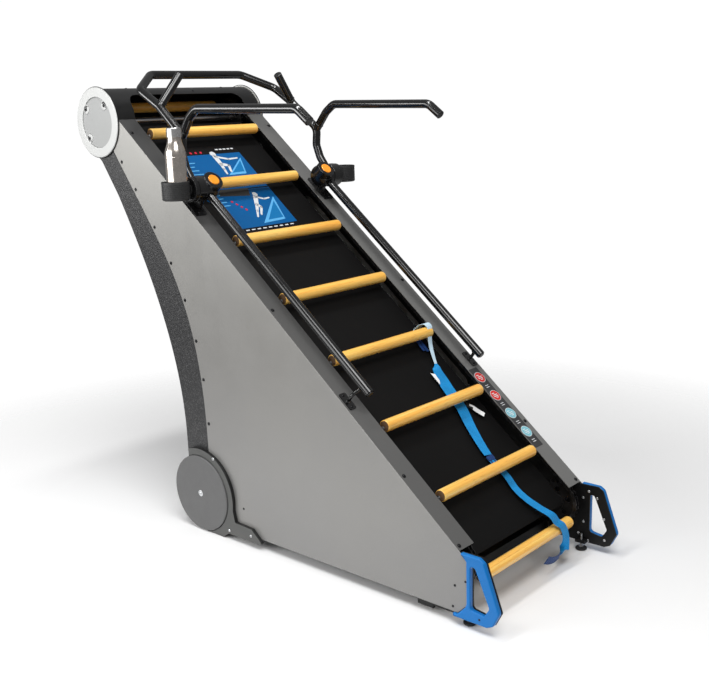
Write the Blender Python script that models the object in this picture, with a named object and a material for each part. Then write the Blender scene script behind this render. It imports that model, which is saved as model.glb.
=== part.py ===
"""Ladder climber: an endless loop of wooden rungs on two roller chains, inclined
between two sheet-metal side panels, with a fixed rail pair, a handlebar frame that
tilts on two hubs, lift handles, transport wheels and levelling feet.

Axes: +X is the user's right, +Y runs from the foot of the ladder to its rear, +Z is
up. The origin is on the floor, in the middle of the machine's footprint box.
Units are metres.

Side-view positions are (y, z) pairs, measured in one of two working frames that
share the centre of the second rung as datum:
  view(y, z)       level, parallel to the world axes
  ladder(up, out)  up along the incline, out square to it towards the user
"""
import math

import bmesh
import bpy
from mathutils import Matrix, Vector

for old in list(bpy.data.objects):
    bpy.data.objects.remove(old, do_unlink=True)

# ----------------------------------------------------------------------------
# driving dimensions; *_UP and *_OUT are ladder coordinates, *_R are radii
# ----------------------------------------------------------------------------
SIDES = (("left", -1.0), ("right", 1.0))
GAP = 0.0003                      # clearance between neighbouring pieces

INCLINE = math.radians(40.0)      # ladder angle above the floor
SIN_INCLINE, COS_INCLINE = math.sin(INCLINE), math.cos(INCLINE)
DATUM_Y, DATUM_Z = -0.7153, 0.3720  # second rung's centre
FLOOR = -DATUM_Z                  # floor level in the view frame

RUNG_PITCH = 0.3048               # 12 in between rungs
RUNG_COUNT = 16
RUNG_PATH_R = 0.0865              # rung centre's radius round either sprocket
CHAIN_PITCH = 0.01905             # 3/4 in roller chain
TEETH = 25
CHAIN_R = TEETH * CHAIN_PITCH / (2 * math.pi)
HALF_TURN = math.pi * CHAIN_R     # chain length round half a sprocket
SHAFT_SPAN = RUNG_COUNT * RUNG_PITCH / 2 - HALF_TURN
UPPER_SHAFT_UP = 2.011
LOWER_SHAFT_UP = UPPER_SHAFT_UP - SHAFT_SPAN
SHAFTS_OUT = -RUNG_PATH_R         # both shafts lie behind the front run of rungs

PANEL_OUTER_X = 0.3795            # outer face of the side panels
PANEL_INNER_X = PANEL_OUTER_X - 0.002
OUTSIDE_X = PANEL_OUTER_X + GAP   # where pieces outside the panels begin
HOOD_X = PANEL_INNER_X - GAP      # half width of the hood and the rear cover
FRAME_X0, FRAME_X1 = 0.365, 0.370  # structural side plates
INSIDE_X = FRAME_X0 - GAP         # where pieces between the plates end

FLANGE_BACK_OUT, FLANGE_FACE_OUT = 0.002, 0.005
FLANGE_LOW_UP, FLANGE_TOP_UP = -0.188, 1.915
SEAT_OUT = FLANGE_FACE_OUT + GAP  # underside of whatever stands on the flange

DRUM_R = 0.130                    # hood radius
COVER_R = DRUM_R + 0.0009         # rear cover's edge against the hood
SHAFT_R = 0.0125
BORE_R = 0.0128
TUBE_R = 0.0165
RAIL_OUT = 0.0795
HUB_UP, HUB_OUT = 1.428, RAIL_OUT


# ----------------------------------------------------------------------------
# positions and side-view curves
# ----------------------------------------------------------------------------
def view(y, z):
    return (y + DATUM_Y, z + DATUM_Z)


def ladder(up, out):
    return view(up * COS_INCLINE - out * SIN_INCLINE, up * SIN_INCLINE + out * COS_INCLINE)


def views(points):
    return [view(*point) for point in points]


def ladders(points):
    return [ladder(*point) for point in points]


def span(sign, near, far):
    """X range between two distances from the centre, on the side given by sign."""
    return (near, far) if sign > 0 else (-far, -near)


def rectangle(first, second):
    """Corners of the rectangle covering two (low, high) ranges."""
    return [(first[0], second[0]), (first[1], second[0]),
            (first[1], second[1]), (first[0], second[1])]


def circle(seg):
    """Cosine and sine of each of seg equal steps round a circle."""
    angles = [2 * math.pi * i / seg for i in range(seg)]
    return [(math.cos(angle), math.sin(angle)) for angle in angles]


def polar(centre, reach, degrees, across=0.0):
    """The point at a reach along a ray from the centre, and across it."""
    cos, sin = math.cos(math.radians(degrees)), math.sin(math.radians(degrees))
    return (centre[0] + reach * cos - across * sin, centre[1] + reach * sin + across * cos)


def arc(centre, radius, start, end, steps):
    """Points on an arc between two angles in degrees."""
    return [polar(centre, radius, start + (end - start) * k / steps) for k in range(steps + 1)]


def bezier(controls, steps):
    """Points on the cubic with four control points."""
    out = []
    for k in range(steps + 1):
        t = k / steps
        u = 1 - t
        out.append(tuple(u ** 3 * a + 3 * u * u * t * b + 3 * u * t * t * c + t ** 3 * d
                         for a, b, c, d in zip(*controls)))
    return out


def offset_curve(points, distance):
    """An open curve moved sideways; positive is to the left of its direction."""
    out = []
    for i, point in enumerate(points):
        before = Vector(points[max(i - 1, 0)])
        after = Vector(points[min(i + 1, len(points) - 1)])
        tangent = (after - before).normalized()
        out.append((point[0] - tangent.y * distance, point[1] + tangent.x * distance))
    return out


def rounded(points, radii, steps=4):
    """A closed outline with each corner replaced by an arc of its own radius."""
    out = []
    count = len(points)
    for i, radius in enumerate(radii):
        corner = Vector(points[i])
        back = Vector(points[i - 1]) - corner
        ahead = Vector(points[(i + 1) % count]) - corner
        half = back.angle(ahead) / 2
        if radius <= 0 or half > math.radians(88):
            out.append(tuple(corner))
            continue
        reach = min(radius / math.tan(half), 0.45 * back.length, 0.45 * ahead.length)
        radius = reach * math.tan(half)
        bisector = (back.normalized() + ahead.normalized()).normalized()
        centre = corner + bisector * (radius / math.sin(half))
        start = corner + back.normalized() * reach - centre
        end = corner + ahead.normalized() * reach - centre
        sweep = start.angle_signed(end)
        for k in range(steps + 1):
            turn = -sweep * k / steps
            out.append((centre.x + start.x * math.cos(turn) - start.y * math.sin(turn),
                        centre.y + start.x * math.sin(turn) + start.y * math.cos(turn)))
    return out


def filleted_path(points, radius, steps=2):
    """A 3-D path whose inner corners are eased by parabolic curves."""
    out = [points[0]]
    for before, corner, after in zip(points, points[1:], points[2:]):
        back, ahead = (before - corner).normalized(), (after - corner).normalized()
        half = back.angle(ahead) / 2
        reach = min(radius / math.tan(half), 0.45 * (before - corner).length,
                    0.45 * (after - corner).length)
        start, end = corner + back * reach, corner + ahead * reach
        for k in range(steps + 1):
            t = k / steps
            out.append((1 - t) ** 2 * start + 2 * (1 - t) * t * corner + t * t * end)
    out.append(points[-1])
    return out


# ----------------------------------------------------------------------------
# materials
# ----------------------------------------------------------------------------
FINISHES = {
    # name: (base colour, roughness, metallic)
    "grey_paint": ((0.23, 0.225, 0.215), 0.42, 0.55),
    "black_paint": ((0.012, 0.012, 0.013), 0.28, 0.0),
    "black_texture": ((0.02, 0.02, 0.021), 0.55, 0.0),
    "black_plastic": ((0.018, 0.018, 0.019), 0.38, 0.0),
    "steel": ((0.55, 0.55, 0.56), 0.30, 1.0),
    "stainless": ((0.70, 0.69, 0.67), 0.22, 1.0),
    "silver_ring": ((0.72, 0.72, 0.70), 0.35, 0.6),
    "grey_plate": ((0.42, 0.42, 0.41), 0.45, 0.6),
    "wood": ((0.78, 0.50, 0.22), 0.35, 0.0),
    "blue_plastic": ((0.0, 0.16, 0.48), 0.35, 0.0),
    "orange_plastic": ((1.0, 0.36, 0.01), 0.30, 0.0),
    "rubber": ((0.015, 0.015, 0.015), 0.7, 0.0),
    "wheel_grey": ((0.11, 0.11, 0.115), 0.5, 0.0),
    "webbing": ((0.0, 0.25, 0.78), 0.7, 0.0),
}


def make_material(name, kind):
    """A material of the piece's own, from the named finish."""
    colour, roughness, metallic = FINISHES[kind]
    material = bpy.data.materials.new(name)
    material.use_nodes = True
    inputs = material.node_tree.nodes.get("Principled BSDF").inputs
    inputs["Base Color"].default_value = (*colour, 1.0)
    inputs["Roughness"].default_value = roughness
    inputs["Metallic"].default_value = metallic
    return material


# ----------------------------------------------------------------------------
# solids; a piece without a kind of finish is a helper for union() or cut()
# ----------------------------------------------------------------------------
def shade(obj, angle=40):
    """Smooth shading, with edges sharper than the angle in degrees kept crisp."""
    obj.data.shade_smooth()
    obj.data.set_sharp_from_angle(angle=math.radians(angle))


def to_object(name, bm, kind=None, smooth=False):
    bmesh.ops.recalc_face_normals(bm, faces=bm.faces)
    mesh = bpy.data.meshes.new(name)
    bm.to_mesh(mesh)
    bm.free()
    obj = bpy.data.objects.new(name, mesh)
    bpy.context.scene.collection.objects.link(obj)
    if kind:
        mesh.materials.append(make_material(name, kind))
    if smooth:
        shade(obj)
    return obj


def add_rows(bm, rings):
    return [[bm.verts.new(point) for point in ring] for ring in rings]


def bridge(bm, row, following):
    """Quads between two closed rows of vertices."""
    for i in range(len(row)):
        j = (i + 1) % len(row)
        bm.faces.new((row[i], row[j], following[j], following[i]))


def skin(name, rings, kind=None, smooth=False):
    """A solid skinned over equal-length point rings and capped at both ends."""
    bm = bmesh.new()
    rows = add_rows(bm, rings)
    for row, following in zip(rows, rows[1:]):
        bridge(bm, row, following)
    bm.faces.new(rows[0])
    bm.faces.new(list(reversed(rows[-1])))
    return to_object(name, bm, kind, smooth)


def hoop(name, rings, kind=None, smooth=False):
    """A solid skinned over point rings that close back on the first."""
    bm = bmesh.new()
    rows = add_rows(bm, rings)
    for row, following in zip(rows, rows[1:] + rows[:1]):
        bridge(bm, row, following)
    return to_object(name, bm, kind, smooth)


def prism(name, outline, x_range, kind=None):
    """A side-view outline extruded across an X range."""
    return skin(name, [[(x, y, z) for y, z in outline] for x in x_range], kind)


def lathe_x(name, profile, centre, kind=None, seg=32, sign=1.0):
    """Turn (x, radius) rows round the X line through centre; both ends lie on it."""
    y, z = centre
    bm = bmesh.new()
    start = bm.verts.new((sign * profile[0][0], y, z))
    end = bm.verts.new((sign * profile[-1][0], y, z))
    rows = add_rows(bm, [[(sign * x, y + radius * cos, z + radius * sin)
                          for cos, sin in circle(seg)] for x, radius in profile[1:-1]])
    for row, following in zip(rows, rows[1:]):
        bridge(bm, row, following)
    for i in range(seg):
        j = (i + 1) % seg
        bm.faces.new((start, rows[0][j], rows[0][i]))
        bm.faces.new((end, rows[-1][i], rows[-1][j]))
    return to_object(name, bm, kind, smooth=True)


def lathe_z(name, profile, x, y, kind=None, seg=24):
    """Turn (z, radius) rows round the vertical line through (x, y)."""
    obj = lathe_x(name, profile, (0.0, 0.0), kind, seg)
    upright = Matrix.Rotation(-math.pi / 2, 4, "Y")
    obj.data.transform(Matrix.Translation((x, y, 0.0)) @ upright)
    return obj


def disc(name, x0, x1, radius, centre, kind=None, seg=32, sign=1.0):
    """A plain cylinder on the X line through centre."""
    return lathe_x(name, [(x0, 0), (x0, radius), (x1, radius), (x1, 0)], centre, kind, seg, sign)


def annulus(name, x_range, bore, radius, centre, kind=None, seg=40):
    """A flat ring round the X line through centre."""
    x0, x1 = x_range
    section = [(x0, bore), (x1, bore), (x1, radius), (x0, radius)]
    return hoop(name, [[(x, centre[0] + r * cos, centre[1] + r * sin) for x, r in section]
                       for cos, sin in circle(seg)], kind, smooth=True)


def rod(name, start, end, radius, kind=None, seg=16):
    """A round bar between two points."""
    ends = (Vector(start), Vector(end))
    turn = (ends[1] - ends[0]).to_track_quat("Z", "Y").to_matrix()
    return skin(name, [[point + turn @ Vector((radius * cos, radius * sin, 0))
                        for cos, sin in circle(seg)] for point in ends], kind, smooth=True)


def sweep_tube(name, path, radius, kind=None, seg=12):
    """A solid round bar along a path, with a frame carried along it."""
    tangents = []
    for i in range(len(path)):
        before = path[max(i - 1, 0)]
        after = path[min(i + 1, len(path) - 1)]
        tangents.append((after - before).normalized())
    side = tangents[0].orthogonal().normalized()
    rings = []
    for point, tangent in zip(path, tangents):
        side = (side - tangent * side.dot(tangent)).normalized()
        normal = tangent.cross(side)
        rings.append([point + (side * cos + normal * sin) * radius for cos, sin in circle(seg)])
    return skin(name, rings, kind, smooth=True)


def combine(target, helper, operation):
    """Boolean the helper into the target, keep the result as its mesh, drop the helper."""
    modifier = target.modifiers.new("combine", "BOOLEAN")
    modifier.operation = operation
    modifier.solver = "EXACT"
    modifier.object = helper
    graph = bpy.context.evaluated_depsgraph_get()
    mesh = bpy.data.meshes.new_from_object(target.evaluated_get(graph))
    target.modifiers.clear()
    old_mesh = target.data
    name = old_mesh.name
    target.data = mesh
    bpy.data.meshes.remove(old_mesh)
    mesh.name = name
    bpy.data.objects.remove(helper, do_unlink=True)


def union(target, helper):
    combine(target, helper, "UNION")


def cut(target, helper):
    combine(target, helper, "DIFFERENCE")


# ----------------------------------------------------------------------------
# axes and curves shared by several pieces
# ----------------------------------------------------------------------------
UPPER_AXIS = ladder(UPPER_SHAFT_UP, SHAFTS_OUT)
LOWER_AXIS = ladder(LOWER_SHAFT_UP, SHAFTS_OUT)
HUB_AXIS = ladder(HUB_UP, HUB_OUT)
FOOT_X, FOOT_Y = 0.3545, -0.169   # levelling foot, its y in the view frame

# rear edge of the side panels, from the top down
REAR_EDGE = bezier(views([(1.514, 1.122), (1.2279, 0.7119), (1.056, 0.5689), (1.056, 0.0)]), 14)

# forward end of the lift handle, from the top down, and its grip hole: view (y, z)
HANDLE_OUTER = views([(-0.228, -0.118), (-0.247, -0.130), (-0.304, -0.286),
                      (-0.279, -0.334), (-0.256, -0.345)])
HANDLE_HOLE = rounded(views([(-0.195, -0.156), (-0.2126, -0.1545), (-0.2656, -0.2775),
                             (-0.2455, -0.3086), (-0.194, -0.302)]), [0.012] * 5)


# ----------------------------------------------------------------------------
# side panels: grey sheet with the front flange folded inwards
# ----------------------------------------------------------------------------
PANEL_LOW = -0.332                # lower edge, view z
PANEL_HEAD_R = 0.1326
FLANGE_INNER_X = 0.299
ACCESS_R = 0.080                  # round opening at the upper shaft


def build_side_panel(side, sign):
    outline = (
        views([(-0.140, PANEL_LOW), (-0.172, -0.300), (-0.1775, -0.285)])
        + ladders([(-0.2275, FLANGE_FACE_OUT), (FLANGE_TOP_UP, FLANGE_FACE_OUT)])
        + arc(UPPER_AXIS, PANEL_HEAD_R, 176.0, -128.0, 32)
        + REAR_EDGE + [view(1.056, PANEL_LOW)]
    )
    panel = prism("side_panel_" + side, outline, span(sign, PANEL_INNER_X, PANEL_OUTER_X),
                  "grey_paint")
    flange = ladders(rectangle((FLANGE_LOW_UP, FLANGE_TOP_UP), (FLANGE_BACK_OUT, FLANGE_FACE_OUT)))
    union(panel, prism("flange", flange, span(sign, FLANGE_INNER_X, PANEL_INNER_X + 0.0015)))
    cut(panel, disc("access", 0.370, 0.390, ACCESS_R, UPPER_AXIS, seg=24, sign=sign))


# ----------------------------------------------------------------------------
# structural side plates: black steel, reaching forward into the lift handles
# ----------------------------------------------------------------------------
FRAME_HEAD_R = 0.1245
FRAME_REAR_INSET = 0.034          # from the panels' rear edge
LUG_HALF = 0.020                  # half length of the lug that takes the levelling foot
FOOT_BORE_R, FOOT_BORE_HEIGHT = 0.0054, 0.08


def build_side_frame(side, sign):
    outline = (
        views([(0.030, -0.345), (-0.125, -0.345)]) + HANDLE_OUTER[::-1]
        + ladders([(-0.1940, 0.0055), (-0.1905, -0.002), (FLANGE_TOP_UP, -0.002)])
        + arc(UPPER_AXIS, FRAME_HEAD_R, 179.0, -126.0, 20)
        + offset_curve(REAR_EDGE, -FRAME_REAR_INSET)[1:]
        + views([(1.022, -0.320), (0.045, -0.320)])
    )
    plate = prism("side_frame_" + side, outline, span(sign, FRAME_X0, FRAME_X1), "black_paint")
    through = span(sign, 0.35, 0.38)
    cut(plate, prism("hole", HANDLE_HOLE, through))

    window = (views([(0.130, -0.275), (0.968, -0.275), (0.975, 0.080), (1.065, 0.470)])
              + ladders([(1.500, -0.185), (1.500, -0.075), (0.400, -0.075)]))
    cut(plate, prism("window", rounded(window, [0.050] * 7, 3), through))

    lug = views(rectangle((FOOT_Y - LUG_HALF, FOOT_Y + LUG_HALF), (-0.3440, -0.3320)))
    union(plate, prism("lug", lug, span(sign, 0.3420, 0.3660)))
    y, z = view(FOOT_Y, FLOOR)
    cut(plate, rod("bore", (sign * FOOT_X, y, z), (sign * FOOT_X, y, z + FOOT_BORE_HEIGHT),
                   FOOT_BORE_R))


# ----------------------------------------------------------------------------
# hood: a sheet drum over the upper sprockets, open in front for the rungs
# ----------------------------------------------------------------------------
HOOD_SHEET = 0.002
HOOD_START, HOOD_END = 176.4, -75.4   # degrees round the upper shaft
MOUTH_DIRECTION = 152.0               # the way the opening faces
MOUTH_HALF_X = 0.295
MOUTH_TOP = -DRUM_R * math.sin(math.radians(24.0))  # upper edge, across that direction
MOUTH_LOW = 0.12
MOUTH_CORNER_R = 0.045


def build_hood():
    outline = (arc(UPPER_AXIS, DRUM_R, HOOD_START, HOOD_END, 36)
               + arc(UPPER_AXIS, DRUM_R - HOOD_SHEET, HOOD_END, HOOD_START, 36))
    hood = prism("hood", outline, (-HOOD_X, HOOD_X), "black_paint")
    mouth = rounded([(-MOUTH_HALF_X, MOUTH_LOW), (-MOUTH_HALF_X, MOUTH_TOP),
                     (MOUTH_HALF_X, MOUTH_TOP), (MOUTH_HALF_X, MOUTH_LOW)],
                    [0.0, MOUTH_CORNER_R, MOUTH_CORNER_R, 0.0], 8)
    cut(hood, skin("mouth", [[(x, *polar(UPPER_AXIS, reach, MOUTH_DIRECTION, across))
                              for x, across in mouth] for reach in (0.05, 0.20)]))
    shade(hood, 30)


# ----------------------------------------------------------------------------
# rear cover: a channel that closes the back, its walls tucked inside the panels
# ----------------------------------------------------------------------------
COVER_WALL = 0.002
COVER_LOW = -0.300                # lower edge, view z
COVER_REAR = 1.186                # rear face at the foot, view y
COVER_TOP = -76.5                 # degrees round the upper shaft
COVER_TUCK = 0.020                # how far the walls reach inside the panels' rear edge


def build_rear_cover():
    curve = bezier(views([(1.5965, 1.0952), (1.3838, 0.7361), (COVER_REAR, 0.3857),
                          (COVER_REAR, 0.0)]), 14)
    # the sheet leaves the drum where the rungs of the rear run still pass inside it
    line = ([polar(UPPER_AXIS, COVER_R, COVER_TOP), ladder(1.915, -0.2040)]
            + curve[2:] + [view(COVER_REAR, COVER_LOW)])
    outline = (line + [view(1.034, COVER_LOW)] + offset_curve(REAR_EDGE, -COVER_TUCK)[::-1]
               + arc(UPPER_AXIS, COVER_R, -131.0, COVER_TOP, 9)[:-1])
    cover = prism("rear_cover", outline, (-HOOD_X, HOOD_X), "black_texture")

    # the hollow follows the sheet's inner face and runs out past the open sides
    inner = offset_curve(line, -COVER_WALL)
    (top_y, top_z), (low_y, low_z) = inner[0], inner[-1]
    hollow = ([(top_y + 0.012, top_z + 0.08), (top_y + 0.012, top_z + 0.01)] + inner
              + [(low_y, low_z - 0.05), (low_y - 0.4, low_z - 0.05), (low_y - 0.4, top_z + 0.08)])
    cut(cover, prism("hollow", hollow, (-HOOD_X + COVER_WALL, HOOD_X - COVER_WALL)))
    shade(cover, 30)


# ----------------------------------------------------------------------------
# inner deck: black sheet between the front and rear runs of the loop
# ----------------------------------------------------------------------------
DECK_HALF_X = 0.295
DECK_SHEET = 0.002


def build_inner_deck():
    line = ladders([(1.930, -0.047), (-0.095, -0.047), (-0.198, -0.053), (-0.214, -0.062)])
    prism("inner_deck", line + offset_curve(line, DECK_SHEET)[::-1],
          (-DECK_HALF_X, DECK_HALF_X), "black_paint")


# ----------------------------------------------------------------------------
# cross members of the frame
# ----------------------------------------------------------------------------
MEMBER_WALL = 0.003


def build_crossmembers():
    across = (-INSIDE_X, INSIDE_X)
    front = prism("front_crossmember", views(rectangle((-0.012, 0.028), (-0.336, -0.300))),
                  across, "black_paint")
    for _, sign in SIDES:
        # a larger block at each end
        block = views(rectangle((-0.030, 0.036), (-0.361, -0.296)))
        union(front, prism("end", block, span(sign, 0.352, INSIDE_X)))

    y_low, y_high = 0.955, 0.995
    z_low, z_high = -0.318, -0.278
    rear = prism("rear_crossmember", views(rectangle((y_low, y_high), (z_low, z_high))),
                 across, "black_paint")
    inside = rectangle((y_low + MEMBER_WALL, y_high - MEMBER_WALL),
                       (z_low + MEMBER_WALL, z_high - MEMBER_WALL))
    cut(rear, prism("inside", views(inside), (-0.4, 0.4)))


# ----------------------------------------------------------------------------
# end rings and end plates that close the drum on each side
# ----------------------------------------------------------------------------
RING_R, RING_BORE = 0.1386, 0.0985
RING_FACE_X, END_PLATE_FACE_X, TONGUE_FACE_X = 0.3915, 0.3845, 0.3875
TONGUE_ANGLES = (38.0, 130.0, -46.0)  # degrees round the shaft
TONGUE_REACH = 0.0835             # from the shaft to a tongue's centre
TONGUE_R, NOTCH_R = 0.0165, 0.0175


def build_drum_end(side, sign):
    """The ring carries round tongues that fit into notches of the plate."""
    ring = annulus("end_ring_" + side, span(sign, OUTSIDE_X, RING_FACE_X),
                   RING_BORE, RING_R, UPPER_AXIS, "silver_ring")
    plate = disc("end_plate_" + side, OUTSIDE_X, END_PLATE_FACE_X, RING_BORE - 0.0008,
                 UPPER_AXIS, "grey_plate", seg=40, sign=sign)
    for angle in TONGUE_ANGLES:
        centre = polar(UPPER_AXIS, TONGUE_REACH, angle)
        union(ring, disc("tongue", OUTSIDE_X, TONGUE_FACE_X, TONGUE_R, centre, seg=12, sign=sign))
        cut(plate, disc("notch", 0.375, 0.395, NOTCH_R, centre, seg=12, sign=sign))
    shade(ring, 35)
    shade(plate, 35)


# ----------------------------------------------------------------------------
# roller chains: the envelope of each loop, slotted where the teeth engage
# ----------------------------------------------------------------------------
CHAIN_X = 0.316
CHAIN_WIDTH = 0.020
CHAIN_HEIGHT = 0.018
CHAIN_STEPS = 18                  # per half turn
SLOT_WIDTH = 0.0116
SLOT_R = 0.0868


def round_shaft(shaft_up, radius, angle):
    """A point round a shaft; angle 0 faces the user, and grows up over the top."""
    return ladder(shaft_up + radius * math.sin(angle), SHAFTS_OUT + radius * math.cos(angle))


def racetrack(radius):
    """The closed loop at a given distance from the line joining the shafts."""
    angles = [math.pi * k / CHAIN_STEPS for k in range(CHAIN_STEPS + 1)]
    return ([round_shaft(UPPER_SHAFT_UP, radius, angle) for angle in angles]
            + [round_shaft(LOWER_SHAFT_UP, radius, math.pi + angle) for angle in angles])


def build_chain(side, sign):
    x0, x1 = span(sign, CHAIN_X - CHAIN_WIDTH / 2, CHAIN_X + CHAIN_WIDTH / 2)
    loops = zip(racetrack(CHAIN_R + CHAIN_HEIGHT / 2), racetrack(CHAIN_R - CHAIN_HEIGHT / 2))
    chain = hoop("chain_" + side, [[(x0, *outer), (x1, *outer), (x1, *inner), (x0, *inner)]
                                   for outer, inner in loops], "steel")
    for centre in (UPPER_AXIS, LOWER_AXIS):
        cut(chain, disc("slot", sign * CHAIN_X - SLOT_WIDTH / 2, sign * CHAIN_X + SLOT_WIDTH / 2,
                        SLOT_R, centre, seg=36))


# ----------------------------------------------------------------------------
# sprockets, bearings, shafts and the brake
# ----------------------------------------------------------------------------
TOOTH_WIDTH = 0.0105
ROOT_R, TIP_R = CHAIN_R - 0.0058, CHAIN_R + 0.0052
# one tooth: fraction of a tooth pitch from its middle, radius
TOOTH = ((-0.36, ROOT_R), (-0.13, TIP_R), (0.13, TIP_R))
BEARING_INNER_X, BEARING_R = 0.3385, 0.040

BRAKE_X = (-0.3345, -0.3297)
BRAKE_R = 0.100
CALIPER_X = (-0.3636, -0.3270)
CALIPER_THROAT_X = (-0.3355, -0.3287)
CALIPER_DIRECTION = -62.0         # degrees round the upper shaft


def build_sprocket(name, sign, centre):
    """A toothed wheel, bored for its shaft."""
    outline = []
    for k in range(TEETH):
        middle = 2 * math.pi * k / TEETH + INCLINE
        for fraction, radius in TOOTH:
            angle = middle + fraction * 2 * math.pi / TEETH
            outline.append((centre[0] + radius * math.cos(angle),
                            centre[1] + radius * math.sin(angle)))
    x = sign * CHAIN_X
    wheel = prism(name, outline, (x - TOOTH_WIDTH / 2, x + TOOTH_WIDTH / 2), "steel")
    cut(wheel, disc("hole", x - 0.02, x + 0.02, BORE_R, centre, seg=20))


def build_side_drive(side, sign):
    build_sprocket("upper_sprocket_" + side, sign, UPPER_AXIS)
    build_sprocket("lower_sprocket_" + side, sign, LOWER_AXIS)
    annulus("upper_bearing_" + side, span(sign, BEARING_INNER_X, INSIDE_X), BORE_R, BEARING_R,
            UPPER_AXIS, "steel", seg=24)


def build_shafts():
    for name, half_length, axis, radius in (
            ("upper_shaft", 0.3615, UPPER_AXIS, SHAFT_R),
            ("lower_axle", 0.3635, LOWER_AXIS, SHAFT_R - 0.0001)):
        rod(name, (-half_length, *axis), (half_length, *axis), radius, "steel", seg=20)


def caliper_block(name, reaches, half_width, x_range, kind=None):
    """A block set square to the caliper's direction, between two reaches from the shaft."""
    corners = rectangle(reaches, (-half_width, half_width))
    return prism(name, [polar(UPPER_AXIS, reach, CALIPER_DIRECTION, across)
                        for reach, across in corners], x_range, kind)


def build_brake():
    annulus("brake_disc", BRAKE_X, BORE_R, BRAKE_R, UPPER_AXIS, "steel", seg=32)
    caliper = caliper_block("brake_caliper", (0.070, 0.118), 0.026, CALIPER_X, "black_paint")
    cut(caliper, caliper_block("throat", (0.050, 0.1025), 0.04, CALIPER_THROAT_X))


# ----------------------------------------------------------------------------
# rungs: numbered up the front, over the top, down the back and round the bottom
# ----------------------------------------------------------------------------
RUNG_R = 0.0215
RUNG_HALF = 0.279
PIN_R = 0.004
PIN_END_X = 0.3055


def loop_point(along, radius):
    """A point on the loop at a radius from its shafts; along is 0 at the datum."""
    if along < LOWER_SHAFT_UP:
        return round_shaft(LOWER_SHAFT_UP, radius, (along - LOWER_SHAFT_UP) / CHAIN_R)
    if along <= UPPER_SHAFT_UP:
        return ladder(along, SHAFTS_OUT + radius)
    past_top = along - UPPER_SHAFT_UP
    if past_top <= HALF_TURN:
        return round_shaft(UPPER_SHAFT_UP, radius, past_top / CHAIN_R)
    return ladder(UPPER_SHAFT_UP - (past_top - HALF_TURN), SHAFTS_OUT - radius)


def build_rung(index):
    """A wooden bar with a pin at each end, set inwards on the chain's line."""
    along = (index - 2) * RUNG_PITCH
    centre = loop_point(along, RUNG_PATH_R)
    pin_centre = loop_point(along, CHAIN_R)
    rung = rod("rung_%02d" % index, (-RUNG_HALF, *centre), (RUNG_HALF, *centre), RUNG_R, "wood")
    for _, sign in SIDES:
        union(rung, rod("pin", (sign * (RUNG_HALF - 0.01), *pin_centre),
                        (sign * PIN_END_X, *pin_centre), PIN_R, seg=8))
    shade(rung)


# ----------------------------------------------------------------------------
# fixed rails with their lower stand-offs
# ----------------------------------------------------------------------------
RAIL_X = 0.3234
RAIL_LOW_UP, RAIL_TOP_UP = 0.400, 1.3820
RAIL_WALL = 0.0025
POST_X, POST_UP, POST_R = 0.352, 0.437, 0.0065
POST_FOOT_HALF = 0.035


def build_rail(side, sign):
    x = sign * RAIL_X
    rail = rod("rail_" + side, (x, *ladder(RAIL_LOW_UP, RAIL_OUT)),
               (x, *ladder(RAIL_TOP_UP, RAIL_OUT)), TUBE_R, "black_paint")
    post = [Vector((sign * POST_X, *ladder(POST_UP, 0.0080))),
            Vector((sign * POST_X, *ladder(POST_UP, 0.040))),
            Vector((x, *ladder(POST_UP, 0.066)))]
    union(rail, sweep_tube("post", filleted_path(post, 0.015), POST_R, seg=8))
    foot = rectangle((POST_UP - POST_FOOT_HALF, POST_UP + POST_FOOT_HALF), (SEAT_OUT, 0.0093))
    union(rail, prism("post_foot", ladders(foot), span(sign, 0.338, 0.370)))
    cut(rail, rod("inside", (x, *ladder(RAIL_LOW_UP - 0.01, RAIL_OUT)),
                  (x, *ladder(RAIL_TOP_UP + 0.01, RAIL_OUT)), TUBE_R - RAIL_WALL, seg=12))
    shade(rail)


# ----------------------------------------------------------------------------
# hubs: a domed barrel on a base plate, grooved for the handlebar's collar
# ----------------------------------------------------------------------------
COLLAR_X0, COLLAR_X1 = 0.3425, 0.3775
HUB_R = 0.0455
HUB_INNER_X, HUB_OUTER_X = 0.266, 0.3965
DOME_LENGTH, DOME_STEPS = 0.034, 5
GROOVE_R = 0.029
GROOVE_PLAY = 0.0005
HUB_CHAMFER = 0.002

BUTTON_X = 0.3025
BUTTON_RISE = math.radians(42.0)  # the button faces the user and this far above level
BUTTON_R, POCKET_R = 0.0226, 0.0232
BOSS_R, BOSS_REACH = 0.0385, 0.0465
POCKET_REACH = 0.0345             # from the hub's axis to the pocket's floor


def barrel_profile():
    """(x, radius) rows from the domed inner end outwards."""
    dome = []
    for k in range(1, DOME_STEPS + 1):
        angle = math.pi / 2 * k / DOME_STEPS
        dome.append((HUB_INNER_X + DOME_LENGTH * (1 - math.cos(angle)), HUB_R * math.sin(angle)))
    groove_x0, groove_x1 = COLLAR_X0 - GROOVE_PLAY, COLLAR_X1 + GROOVE_PLAY
    return ([(HUB_INNER_X, 0.0)] + dome
            + [(groove_x0, HUB_R), (groove_x0, GROOVE_R), (groove_x1, GROOVE_R),
               (groove_x1, HUB_R), (HUB_OUTER_X - HUB_CHAMFER, HUB_R),
               (HUB_OUTER_X, HUB_R - HUB_CHAMFER), (HUB_OUTER_X, 0.0)])


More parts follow.
